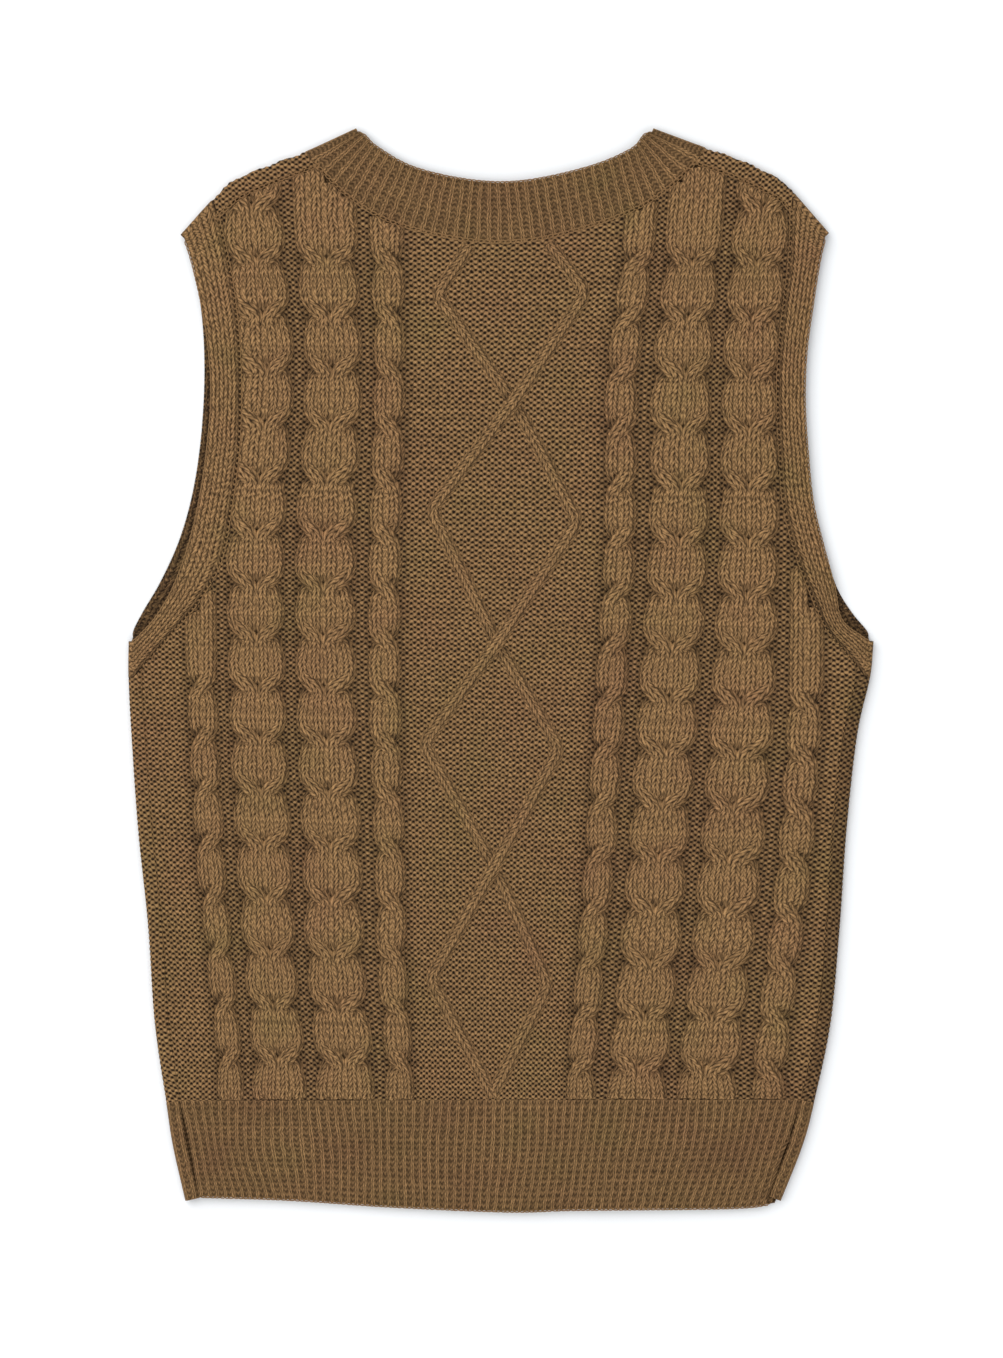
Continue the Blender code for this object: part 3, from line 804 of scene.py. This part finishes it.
def cableStrand(middle, kind, leansRight, first, number, seed):
    # one strand of a cable from the top of the panel to the hem; its first crossing is at row 10 * first
    rng = np.random.default_rng(seed)
    rows = np.arange(ground["firstRow"], strand["last"] + 0.01, 1 / strand["perRow"])
    turn = np.maximum(np.floor(rows / strand["repeat"]).astype(int), first - 1)
    p = rows - turn * strand["repeat"]  # rows since the last crossing ended
    later = (turn > first - 1).astype(float)
    swell = math.tau * (np.where(later > 0, p, np.maximum(p, 4.3)) - 9.3) / strand["repeat"]
    breath = 1.0 - crossings[kind]["narrow"] * np.cos(swell)  # narrowest just before a crossing ends
    if kind == "horseshoe":
        side = -1 if number < 2 else 1
        fromOuter = (turn + number) % 2 == 0
        inFront = np.where(fromOuter, 1.0, 0.0)
        move = np.where(fromOuter, smooth((p - 6.1) / 3.8), smooth((p - 7.0) / 3.4))
        offset = np.where(fromOuter, 3 - 2 * move, 1 + 2 * move)
        lift, dive = crossing(p, later, inFront, kind)
        outerShare = np.where(fromOuter, 1 - move, move)
        outDrop = np.maximum(0.1 + 0.9 * smooth(outerShare * 1.3), lift * 0.55)
        inDrop = 0.1 + 0.6 * pulse(p, 5.8, 7.8, 9.4, 10) * inFront
        wales = middle + side * offset * breath
        leftDrop, rightDrop = (outDrop, inDrop) if side < 0 else (inDrop, outDrop)
    else:
        fromLeft = (turn + number) % 2 == 0
        isFront = fromLeft if leansRight else ~fromLeft
        inFront = np.where(isFront, 1.0, 0.0)
        move = smooth((p - 6.8) / 4.6)
        carry = np.where(later > 0, smooth((p + strand["repeat"] - 6.8) / 4.6), 1.0)
        offset = np.where(fromLeft, 1, -1) * (2 * move - 2 * carry + 1)
        lift, dive = crossing(p, later, inFront, kind)
        wales = middle + offset * breath
        toRight = smooth(0.5 + 0.6 * offset)
        leftDrop = np.maximum(0.12 + 0.88 * (1 - toRight), lift * 0.65)
        rightDrop = np.maximum(0.12 + 0.88 * toRight, lift * 0.65)
    half = strand["halfWidth"] * breath * (1 + 0.22 * lift + 0.1 * dive)
    x, y = place(wales, rows)
    x = x + 0.25 * np.interp(rows, np.arange(-30, 170, 4), rng.normal(0, 1, 50))
    crown = strand["crown"] + strand["frontLift"] * lift - strand["backDrop"] * dive
    good = np.flatnonzero(inside(x, y) > 0.1)
    if len(good) < 12:
        return []
    run = slice(good[0], good[-1] + 1)
    pitch = place(wales[run] + 0.5, rows[run])[0] - place(wales[run] - 0.5, rows[run])[0]
    return [ribbon(x[run], y[run], crown[run], pitch * half[run], leftDrop[run], rightDrop[run], rows[run])]


allStrands = {"rope": [], "horseshoe": []}
for index, (middle, kind, leansRight, first) in enumerate(cables.values()):
    for number in range(4 if kind == "horseshoe" else 2):
        allStrands[kind] += cableStrand(middle, kind, leansRight, first, number, 10 * index + number)
horseshoeMesh = ribbonMesh("horseshoeCables", allStrands["horseshoe"])
horseshoeCables = makePiece("horseshoeCables", horseshoeMesh, cableKnit)
ropeCables = makePiece("ropeCables", ribbonMesh("ropeCables", allStrands["rope"]), cableKnit)
print("cables", len(horseshoeCables.data.polygons), len(ropeCables.data.polygons))

# travelling cords of the diamonds, from the neckband down to the hem
diamond = {
    "left": ((-18.6, 254.7), (-36.6, 228), (-36.6, 222), (7.8, 160.5), (44.4, 92), (44.4, 86), (-2.4, 15.9),
             (-44.4, -42), (-44.4, -48), (-4.2, -118.5), (27, -186), (27, -192), (-4.5, -254), (-5.2, -258)),
    "right": ((28.2, 255.9), (49.2, 229), (49.2, 223), (7.8, 160.5), (-40.2, 98), (-40.2, 92), (-2.4, 15.9),
              (33.6, -45), (33.6, -51), (-4.2, -118.5), (-40.8, -183), (-40.8, -189), (-5.5, -254), (-5.0, -258)),
    "crossings": ((7.8, 160.5), (-2.4, 15.9), (-4.2, -118.5)),
    "over": {"left": (False, True, False), "right": (True, False, True)},
    "half": 5.0, "crown": 1.7, "lift": 0.7, "dive": 1.7, "round": 9.0, "step": 1.1, "reach": 9.0,
}


def roundedPath(knots, step, reach):
    line = evenly(np.array(knots, float), int(lengthsAlong(np.array(knots, float))[-1] / step))
    width = int(reach / step)
    kernel = np.hanning(width + 2)[1:-1]
    kernel /= kernel.sum()
    padded = np.vstack([np.repeat(line[:1], width, axis=0), line, np.repeat(line[-1:], width, axis=0)])
    eased = np.column_stack([np.convolve(padded[:, i], kernel, "same") for i in range(2)])
    return eased[width:-width]


def diamondCord(side):
    path = roundedPath(diamond[side], diamond["step"], diamond["round"])
    x, y = path[:, 0], path[:, 1]
    keep = inside(x, y) > 0.8
    x, y = x[keep], y[keep]
    crown = np.full(len(x), diamond["crown"])
    for (cx, cy), over in zip(diamond["crossings"], diamond["over"][side]):
        close = np.exp(-((np.hypot(x - cx, y - cy) / diamond["reach"]) ** 2 * 1.3))
        crown = crown + (diamond["lift"] if over else -diamond["dive"]) * close
    along = lengthsAlong(np.column_stack([x, y])) / 3.3
    drop = np.ones(len(x))
    return ribbon(x, y, crown, np.full(len(x), diamond["half"]), drop, drop, along, power=4.0)


cordMesh = ribbonMesh("diamondCords", [diamondCord("left"), diamondCord("right")])
diamondCords = makePiece("diamondCords", cordMesh, cableKnit)
print("diamond cords", len(diamondCords.data.polygons))


# front panel, with the rolls that bring it over the sides and the shoulders
def knitUv(points):
    return np.stack(stitchAt(points[..., 0], points[..., 1]), axis=-1)


def frontHalf(sideLine, armSeam, shoulderLine, vSeam):
    outer = np.vstack([sideLine[:, :2], armSeam[1:]])
    centreRows = len(outer) - 1 - density["v"]
    hemCentre = np.array([outline["centreX"], outline["hemSeamY"]])
    inner = np.vstack([np.linspace(hemCentre, vSeam[0], centreRows + 1), vSeam[1:]])
    top = shoulderLine[:, :2]
    return atHeight(filled(alongLike(top, outer[0], inner[0]), top, outer, inner), 0)


def knobbly(rows, line, height):
    # the ends of the rows and wales stand out along a fold
    outward = atHeight(line[:, 2:4], 0)[:, None] * np.sin(np.linspace(0, np.pi, rows.shape[1]))[None, :, None]
    return rows + outward * height[:, None, None]


def bodyRoll(line):
    rows = rolled(line)
    wale, row = stitchAt(line[:, 0], line[:, 1])
    sign = np.sign(line[:, 2])
    arc = aroundRoll(rows.shape[1], gauge["pitch"])
    uv = paired(wale[:, None] + sign[:, None] * arc, row[:, None])
    return knobbly(rows, line, 0.22 * np.cos(math.tau * row) - 0.1), uv


def sideStrip(line, seam, armSeam):
    base = line[:, :2]
    top = armSeam[: corner + 1]
    bottom = alongLike(top, base[0], seam[0])
    return atHeight(filled(bottom, top, base, seam), cloth["thick"])


def shoulderStrip(line, seam, armSeam, neckPart):
    base = line[:, :2]
    return atHeight(filled(armSeam[::-1][: corner + 1], neckPart, base, seam), cloth["thick"])


def seamFall(count, cells, depth=1.2):
    # dip at the last cells next to a seam
    return depth * np.exp(-((np.arange(count)[::-1] / cells) ** 2))


def foldStitch(wale, row):
    return purlRelief(wale, row) * 0.35 - 0.2


def buildFront():
    grids = []
    for line, seam, arm, shoulder, shoulderSeamLine, v, neckPart in (
        (leftSide, leftSideSeam, leftArm[0], leftShoulder, leftShoulderSeam, leftV[0],
         neckSeam[: neckCorner + 1]),
        (rightSide, rightSideSeam, rightArm[0], rightShoulder, rightShoulderSeam, rightV[0],
         neckSeam[::-1][: neckCorner + 1]),
    ):
        flat = frontHalf(line, arm, shoulder, v)
        rows, uv = bodyRoll(line)
        grids += [(flat, knitUv(flat)), (rows, uv)]
        strip = sideStrip(line, seam, arm)
        reach = np.linspace(0, cloth["sideReach"], strip.shape[1]) / gauge["pitch"]
        wale = uv[:, -1:, 0] + np.sign(line[:, 2:3]) * reach
        _, row = stitchAt(strip[..., 0], strip[..., 1])
        strip[..., 2] += foldStitch(wale, row) - seamFall(strip.shape[1], 0.6, 0.4)
        strip[:, 0, 2] = cloth["thick"]
        grids.append((strip, np.stack([wale, row], axis=-1)))
        wale = stitchAt(shoulder[:, 0], shoulder[:, 1])[0]
        bumps = 0.4 * np.cos(math.tau * wale) + 0.35 * np.sin(wale * 1.7) - 0.2
        rows = knobbly(rolled(shoulder), shoulder, bumps)
        grids.append((rows, knitUv(rows)))
        strip = shoulderStrip(shoulder, shoulderSeamLine, arm, neckPart)
        uvs = knitUv(strip)
        strip[..., 2] += foldStitch(uvs[..., 0], uvs[..., 1]) - seamFall(strip.shape[1], 0.6)
        strip[:, 0, 2] = cloth["thick"]
        grids.append((strip, uvs))
    return grids


frontPanel = clothPiece("frontPanel", buildFront(), purlKnit)
spots = meshPoints(frontPanel.data)
turned = (spots[:, 0] > 150) * smooth((spots[:, 2] - 2) / 2) * smooth((20 - spots[:, 1]) / 30)
setPaintedShade(frontPanel.data, 0.38 * turned)  # painted shade where the front comes round the right side, away from the light
print("front panel", len(frontPanel.data.polygons))


# ribbed bands
def ribRelief(t):
    # below the top of the rib: one knit wale with two legs, then a purl groove
    t = t - np.floor(t)
    share = ribs["knitShare"]
    groove = np.where(t > share, np.sin(np.pi * (t - share) / (1 - share)), 0) ** 0.7
    middle = np.exp(-(((t - share / 2) / 0.07) ** 2))
    return -ribs["groove"] * groove - ribs["leg"] * middle


def armRelief(t):
    t = t - np.floor(t)
    return -0.45 * (1 - np.abs(np.sin(np.pi * t)) ** 0.7)


def hemLayer(top, left, right, level):
    edge = smoothLine(outline["hemEdge"])
    across = alongLike(top, left[0], right[0])[:, 0]
    bottom = np.column_stack([across, np.interp(across, edge[:, 0], edge[:, 1])])
    bottom[0], bottom[-1] = left[0], right[0]
    return atHeight(filled(bottom, top, left, right), level)


def hemGrid(top, left, right, level, facing):
    columns = np.linspace(0, 1, ribs["hemCount"] * 8 + 1)[:, None]
    line = top[0] + columns * (top[-1] - top[0])
    rows = hemLayer(line, left, right, level)
    rib = np.linspace(0, ribs["hemCount"], rows.shape[1])[None] + ribs["start"]
    row = np.linspace(ribs["hemRows"], 0, rows.shape[0])[:, None]
    relief = ribRelief(rib)
    if facing > 0:
        relief = relief * smooth((np.arange(rows.shape[0])[::-1] + 1) / 4)[:, None]
        relief = relief + drape(rows[..., 0], rows[..., 1])
        bend = np.sin(np.linspace(0, np.pi, rows.shape[0]))[:, None]
        sway = 1.3 + 1.8 * np.exp(-(((rows[..., 0] + 150) / 60) ** 2))
        rows[..., 0] += sway * bend * np.sin(rows[..., 0] / 17 + 0.8) * np.sin(rows[..., 1] / 26)
    rows[..., 2] += facing * relief
    return rows, paired(rib, row)


backHemGrid = hemGrid(backFoot, leftHemSeam, rightHemSeam, cloth["thick"], 1)
backHem = clothPiece("backHem", [backHemGrid], ribKnit, tube=False)


def buildFrontHem():
    foot = np.array([leftHem[-1, :2], rightHem[-1, :2]])
    grids = [hemGrid(foot, leftHem[:, :2], rightHem[:, :2], 0, -1)]
    for line, seam in ((leftHem, leftHemSeam), (rightHem, rightHemSeam)):
        rows = rolled(line)
        along = np.linspace(ribs["hemRows"], 0, len(line))[:, None]
        arc = aroundRoll(rows.shape[1], ribs["hemPitch"]) + ribs["start"]
        grids.append((rows, paired(arc, along)))
        t = np.linspace(0, 1, density["strip"] + 1)[None, :, None]
        strip = atHeight((1 - t) * line[:, None, :2] + t * seam[:, None], cloth["thick"])
        strip[..., 2] -= seamFall(strip.shape[1], 0.6)
        reach = np.linspace(0, cloth["sideReach"], strip.shape[1]) / ribs["hemPitch"] + arc[-1]
        grids.append((strip, paired(reach, along)))
    return grids


frontHem = clothPiece("frontHem", buildFrontHem(), ribKnit)
print("hems", len(backHem.data.polygons), len(frontHem.data.polygons))


def bandStrip(seam, edge, level, columns):
    t = np.linspace(0, 1, columns + 1)[None, :, None]
    return atHeight((1 - t) * seam[:, None] + t * edge[:, None], level)


def buildNeckRib():
    across = density["across"]
    back = bandStrip(neckSeam, neckEdge, cloth["thick"], across)
    left = bandStrip(*leftV, 0, across)
    right = bandStrip(*rightV, 0, across)
    back[0, :, :2] = left[-1, :, :2] = leftNeckFold[:, :2]
    back[-1, :, :2] = right[-1, :, :2] = rightNeckFold[:, :2]
    middle = (neckSeam + neckEdge) / 2
    along = lengthsAlong(middle)
    rib = along / along[-1] * ribs["neckCount"] + ribs["start"]
    rows = np.linspace(0, ribs["neckRows"], across + 1)
    back[1:-1, :, 2] += (ribRelief(rib)[:, None] + drape(back[..., 0], back[..., 1])
                         - 0.6 * np.exp(-((np.arange(across + 1) / 1.2) ** 2)))[1:-1]
    grids = [(back, paired(rib[:, None], rows))]
    for layer, fold in ((left, leftNeckFold), (right, rightNeckFold)):
        ribV = np.linspace(0, ribs["vCount"], len(layer)) + ribs["start"]
        layer[:-1, :, 2] -= ribRelief(ribV)[:-1, None]
        roll = rolled(fold)
        arc = aroundRoll(roll.shape[1], ribs["neckPitch"]) + 0.3
        grids += [(layer, paired(ribV[:, None], rows)), (roll, paired(arc, rows[:, None]))]
    return grids


neckRib = clothPiece("neckRib", buildNeckRib(), ribKnit)


def buildArmband(seam, frontEdge, backEdge, under, shoulder):
    columns = density["armAcross"]
    back = bandStrip(seam, backEdge, cloth["thick"], columns)
    front = bandStrip(seam, frontEdge, 0, columns)
    for layer in (back, front):
        layer[0, :, :2] = under[:, :2]
        layer[-1, :, :2] = shoulder[::-1, :2]
    wales = np.linspace(0, ribs["armWales"] / 2, columns + 1)
    rows = lengthsAlong(seam) / ribs["armPitch"]
    relief = armRelief(wales * 2)
    relief = relief - 0.7 * np.exp(-((np.arange(columns + 1) / 2.2) ** 2))
    ends = np.minimum(np.arange(len(seam)), np.arange(len(seam))[::-1])[:, None]
    back[..., 2] += (relief + drape(back[..., 0], back[..., 1])) * smooth(ends / 4)
    front[..., 2] -= relief * smooth(ends / 4)
    grids = [(layer, paired(wales, rows[:, None])) for layer in (back, front)]
    for fold, shift in ((under, 0), (shoulder, rows[-1])):
        roll = rolled(fold)
        arc = aroundRoll(roll.shape[1], ribs["armPitch"]) + shift
        grids.append((roll, paired(np.linspace(0, wales[-1], len(fold))[:, None], arc)))
    return grids


armbandLeft = clothPiece("armbandLeft", buildArmband(*leftArm, leftUnder, leftArmFold), lineKnit)
armbandRight = clothPiece("armbandRight", buildArmband(*rightArm, rightUnder, rightArmFold), lineKnit)


def shadeBand(band, seam):
    # painted shade along the seam and on the inner face of the front layer, which shows beyond the back's edge
    points = meshPoints(band.data)
    gap = np.array([np.hypot(*(seam - point).T).min() for point in points[:, :2]])
    inner = (points[:, 2] > 1.2) & (points[:, 2] < 3)
    setPaintedShade(band.data, np.maximum(inner * 0.5, 0.95 * np.exp(-((gap / 1.7) ** 2))))


for band, line in ((armbandLeft, leftArm[0]), (armbandRight, rightArm[0])):
    shadeBand(band, line)
print("bands", len(neckRib.data.polygons), len(armbandLeft.data.polygons))

# loops of yarn along the seams and the free edges
loops = {"chain": {"spacing": 3.2, "length": 4.0, "width": 2.0, "yarn": 0.42, "jitter": 0.22},
         "edge": {"spacing": 2.8, "length": 3.4, "width": 1.2, "yarn": 0.4, "jitter": 0.15},
         "sides": 8, "round": 5}


def loopTree():
    # a small ring of yarn at even steps along a line, its x axis along the line
    tree = bpy.data.node_groups.new("yarnLoops", "GeometryNodeTree")

    def declare(name, kind, side="INPUT"):
        return tree.interface.new_socket(name, in_out=side, socket_type="NodeSocket" + kind)

    declare("Geometry", "Geometry")
    for name in ("Spacing", "Length", "Width", "Yarn", "Jitter"):
        declare(name, "Float")
    declare("Seed", "Int")
    declare("Material", "Material")
    declare("Geometry", "Geometry", "OUTPUT")

    def add(kind, inputs=None, **settings):
        # a node with its inputs joined to other nodes or set
        node = tree.nodes.new(kind)
        for key, value in settings.items():
            setattr(node, key, value)
        for key, value in (inputs or {}).items():
            if isinstance(value, bpy.types.NodeSocket):
                tree.links.new(value, node.inputs[key])
            else:
                node.inputs[key].default_value = value
        return node.outputs

    given = add("NodeGroupInput")
    line = add("GeometryNodeMeshToCurve", {"Mesh": given["Geometry"]})
    steps = add("GeometryNodeResampleCurve", {"Curve": line["Curve"], "Length": given["Spacing"]},
                mode="LENGTH")
    ring = add("GeometryNodeCurvePrimitiveCircle", {"Resolution": loops["sides"], "Radius": 0.5})
    size = add("ShaderNodeCombineXYZ", {"X": given["Length"], "Y": given["Width"], "Z": 1.0})
    shaped = add("GeometryNodeTransform", {"Geometry": ring["Curve"], "Scale": size["Vector"]})
    section = add("GeometryNodeCurvePrimitiveCircle", {"Resolution": loops["round"], "Radius": given["Yarn"]})
    tube = add("GeometryNodeCurveToMesh", {"Curve": shaped["Geometry"], "Profile Curve": section["Curve"]})
    tangent = add("GeometryNodeInputTangent")
    facing = add("FunctionNodeAlignRotationToVector", {"Vector": tangent["Tangent"]}, axis="X", pivot_axis="Z")
    spread = add("ShaderNodeVectorMath", {"Scale": given["Jitter"], 0: (0.5, 0.5, 1.0)}, operation="SCALE")
    opposite = add("ShaderNodeVectorMath", {"Scale": -1.0, 0: spread["Vector"]}, operation="SCALE")
    wobble = add("FunctionNodeRandomValue", {"Min": opposite["Vector"], "Max": spread["Vector"],
                                             "Seed": given["Seed"]}, data_type="FLOAT_VECTOR")
    euler = add("FunctionNodeEulerToRotation", {"Euler": wobble["Value"]})
    tilt = add("FunctionNodeRotateRotation", {"Rotation": facing["Rotation"], "Rotate By": euler["Rotation"]},
               rotation_space="LOCAL")
    laid = add("GeometryNodeInstanceOnPoints", {"Points": steps["Curve"], "Instance": tube["Mesh"],
                                                "Rotation": tilt["Rotation"]})
    real = add("GeometryNodeRealizeInstances", {"Geometry": laid["Instances"]})
    painted = add("GeometryNodeSetMaterial", {"Geometry": real["Geometry"], "Material": given["Material"]})
    add("NodeGroupOutput", {"Geometry": painted["Geometry"]})
    return tree


def lineMesh(name, lines):
    points, edges = [], []
    for line in lines:
        start = len(points)
        points += (np.asarray(line) * mm).tolist()
        edges += [(start + i, start + i + 1) for i in range(len(line) - 1)]
    mesh = bpy.data.meshes.new(name)
    mesh.from_pydata(points, edges, [])
    return mesh


yarnLoops = loopTree()
linkYarn = knitMaterial("linking yarn", None, 0.85, 0.2)


def layLoops(name, lines, sizes, seed):
    piece = intoScene(name, lineMesh(name, lines))
    modifier = piece.modifiers.new("loops", "NODES")
    modifier.node_group = yarnLoops
    sockets = {item.name: item.identifier for item in yarnLoops.interface.items_tree if item.in_out == "INPUT"}
    for key in ("Spacing", "Length", "Width", "Yarn"):
        modifier[sockets[key]] = sizes[key.lower()] * mm
    for key, value in (("Jitter", sizes["jitter"]), ("Seed", seed), ("Material", linkYarn)):
        modifier[sockets[key]] = value
    applyModifiers(piece)
    faceOutward(piece.data)
    return piece


def onTop(line, lift):
    z = cloth["thick"] + drape(line[:, 0], line[:, 1]) + lift
    return np.column_stack([line[:, :2], z])


seamLines = [onTop(neckSeam[neckCorner:-neckCorner], -0.55), onTop(leftShoulderSeam, -0.6),
             onTop(rightShoulderSeam, -0.6), onTop(leftArm[0][corner:-corner], -0.85),
             onTop(rightArm[0][corner:-corner], -0.85)]
linkChains = layLoops("linkChains", seamLines, loops["chain"], 3)
hemLine = smoothLine(outline["hemEdge"])
hemSpan = (hemLine[:, 0] > leftHemSeam[0, 0] + 1) & (hemLine[:, 0] < rightHemSeam[0, 0] - 1)
wallMiddle = -cloth["wall"] / 2
edgeLines = [onTop(neckEdge[3:-3], wallMiddle), onTop(leftArm[2][6:-6], wallMiddle),
             onTop(rightArm[2][6:-6], wallMiddle), onTop(hemLine[hemSpan], wallMiddle)]
edgeLoops = layLoops("edgeLoops", edgeLines, loops["edge"], 8)
print("yarn loops", len(linkChains.data.polygons), len(edgeLoops.data.polygons))

# what each piece stands for
for piece, slot, nodes in (
    (backPanel, "cable_knit", ("back_panel",)), (horseshoeCables, "cable_knit", ("back_panel",)),
    (ropeCables, "cable_knit", ("back_panel",)), (diamondCords, "cable_knit", ("back_panel",)),
    (frontPanel, "cable_knit", ("front_panel",)), (backHem, "hem_rib", ("back_hem",)),
    (frontHem, "hem_rib", ("front_hem",)), (neckRib, "neck_rib", ("neckband",)),
    (armbandLeft, "arm_rib", ("armband_left",)), (armbandRight, "arm_rib", ("armband_right",)),
    (linkChains, "neck_rib", ("neckband", "armband_left", "armband_right")),
    (edgeLoops, "hem_rib", ("neckband", "armband_left", "armband_right", "back_hem")),
):
    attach(piece, "root")
    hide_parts(*nodes)


# the cut of each cloth piece before it was laid
def cutArea(*lines):
    x, y = np.vstack(lines).T
    return abs(x @ np.roll(y, -1) - y @ np.roll(x, -1)) / 2


def bandCut(*strips):
    # length and depth of a narrow band, from its seam and edge lines and its rolls
    length = sum((lengthsAlong(seam)[-1] + lengthsAlong(edge)[-1]) / 2 for seam, edge in strips)
    area = sum(cutArea(seam, edge[::-1]) for seam, edge in strips)
    return length + 2 * rollLength, area / length


rollLength = math.pi * cloth["roll"]
overSide = rollLength + cloth["sideReach"]  # what the front brings over each side
panelWidth = backRight[:, 0].max() - backLeft[:, 0].min()
panelLength = backTop[:, 1].max() - outline["hemSeamY"]
panelArea = cutArea(backLeft[:, :2], backTop[:, :2], backRight[::-1, :2])
frontWidth = rightSide[:, 0].max() - leftSide[:, 0].min() + 2 * overSide
frontLength = leftShoulder[:, 1].max() - outline["hemSeamY"] + rollLength
frontOutline = [np.vstack([line[:, :2], arm[0][1:], shoulder[:, :2], v[0][::-1]])
                for line, arm, shoulder, v in ((leftSide, leftArm, leftShoulder, leftV),
                                               (rightSide, rightArm, rightShoulder, rightV))]
frontArea = cutArea(frontOutline[0], frontOutline[1][::-1]) + 2 * overSide * lengthsAlong(leftSide)[-1]
hemDepth = outline["hemSeamY"] + 322  # down to the hem's mean edge
sheets = (
    (backPanel, (panelWidth, panelLength), panelArea, ["frontPanel"],
     [horseshoeCables, ropeCables, diamondCords, linkChains]),
    (frontPanel, (frontWidth, frontLength), frontArea, ["floor"], []),
    (backHem, (backFoot[1, 0] - backFoot[0, 0], hemDepth), None, ["frontHem"], [edgeLoops]),
    (frontHem, (rightHem[-1, 0] - leftHem[-1, 0] + 2 * overSide, hemDepth), None, ["floor"], []),
    (neckRib, bandCut((neckSeam, neckEdge), leftV, rightV), None, ["floor"], []),
    (armbandLeft, bandCut(leftArm[:2], (leftArm[0], leftArm[2])), None, ["floor"], []),
    (armbandRight, bandCut(rightArm[:2], (rightArm[0], rightArm[2])), None, ["floor"], []),
)
for piece, (width, length), area, below, joined in sheets:
    print(f"{piece.name} cut {width:.0f} by {length:.0f}, area {area or width * length:.0f}")
    width * mm
    length * mm
    None if area is None else area * mm * mm

# floor, lights and camera
studio = {"floorLevel": -0.25, "world": 0.7,
          "key": {"spot": (-1.3, 1.0, 1.9), "size": 3.4, "power": 46, "colour": (1, 1, 1)},
          "fill": {"spot": (0.4, -1.6, 2.0), "size": 3.0, "power": 17.5, "colour": (0.95, 0.98, 1)}}
floorMesh = bpy.data.meshes.new("floor")
floorCorners = [(x, y, studio["floorLevel"] * mm) for x, y in ((-3, -3), (3, -3), (3, 3), (-3, 3))]
floorMesh.from_pydata(floorCorners, [], [(0, 1, 2, 3)])
floorMaterial = bpy.data.materials.new("pale floor")
floorMaterial.use_nodes = True
floorShader = floorMaterial.node_tree.nodes["Principled BSDF"]
floorShader.inputs["Base Color"].default_value = (0.92, 0.93, 0.94, 1)
floorShader.inputs["Roughness"].default_value = 0.9
floor = makePiece("floor", floorMesh, floorMaterial)


for name in ("key", "fill"):
    setup = studio[name]
    light = bpy.data.lights.new(name, "AREA")
    light.shape = "DISK"
    light.size = setup["size"]
    light.energy = setup["power"]
    light.color = setup["colour"]
    lamp = intoScene(name, light)
    lamp.location = setup["spot"]
    lamp.rotation_euler = (-Vector(setup["spot"])).to_track_quat("-Z", "Y").to_euler()
world = bpy.data.worlds.new("studio")
world.use_nodes = True
world.node_tree.nodes["Background"].inputs["Color"].default_value = (0.97, 0.985, 1, 1)
world.node_tree.nodes["Background"].inputs["Strength"].default_value = studio["world"]
bpy.context.scene.world = world
bpy.context.scene.view_settings.view_transform = "Standard"

view = {"centre": (0.0003, -0.0057), "height": 4.0, "frame": 0.8148, "sensor": 24}  # metres, sensor in mm
cameraData = bpy.data.cameras.new("camera")
cameraData.sensor_fit = "VERTICAL"
cameraData.sensor_height = cameraData.sensor_width = view["sensor"]
cameraData.lens = view["sensor"] * (view["height"] - cloth["topZ"] * mm) / view["frame"]
camera = intoScene("camera", cameraData)
camera.location = (*view["centre"], view["height"])
bpy.context.scene.camera = camera
print("studio set")
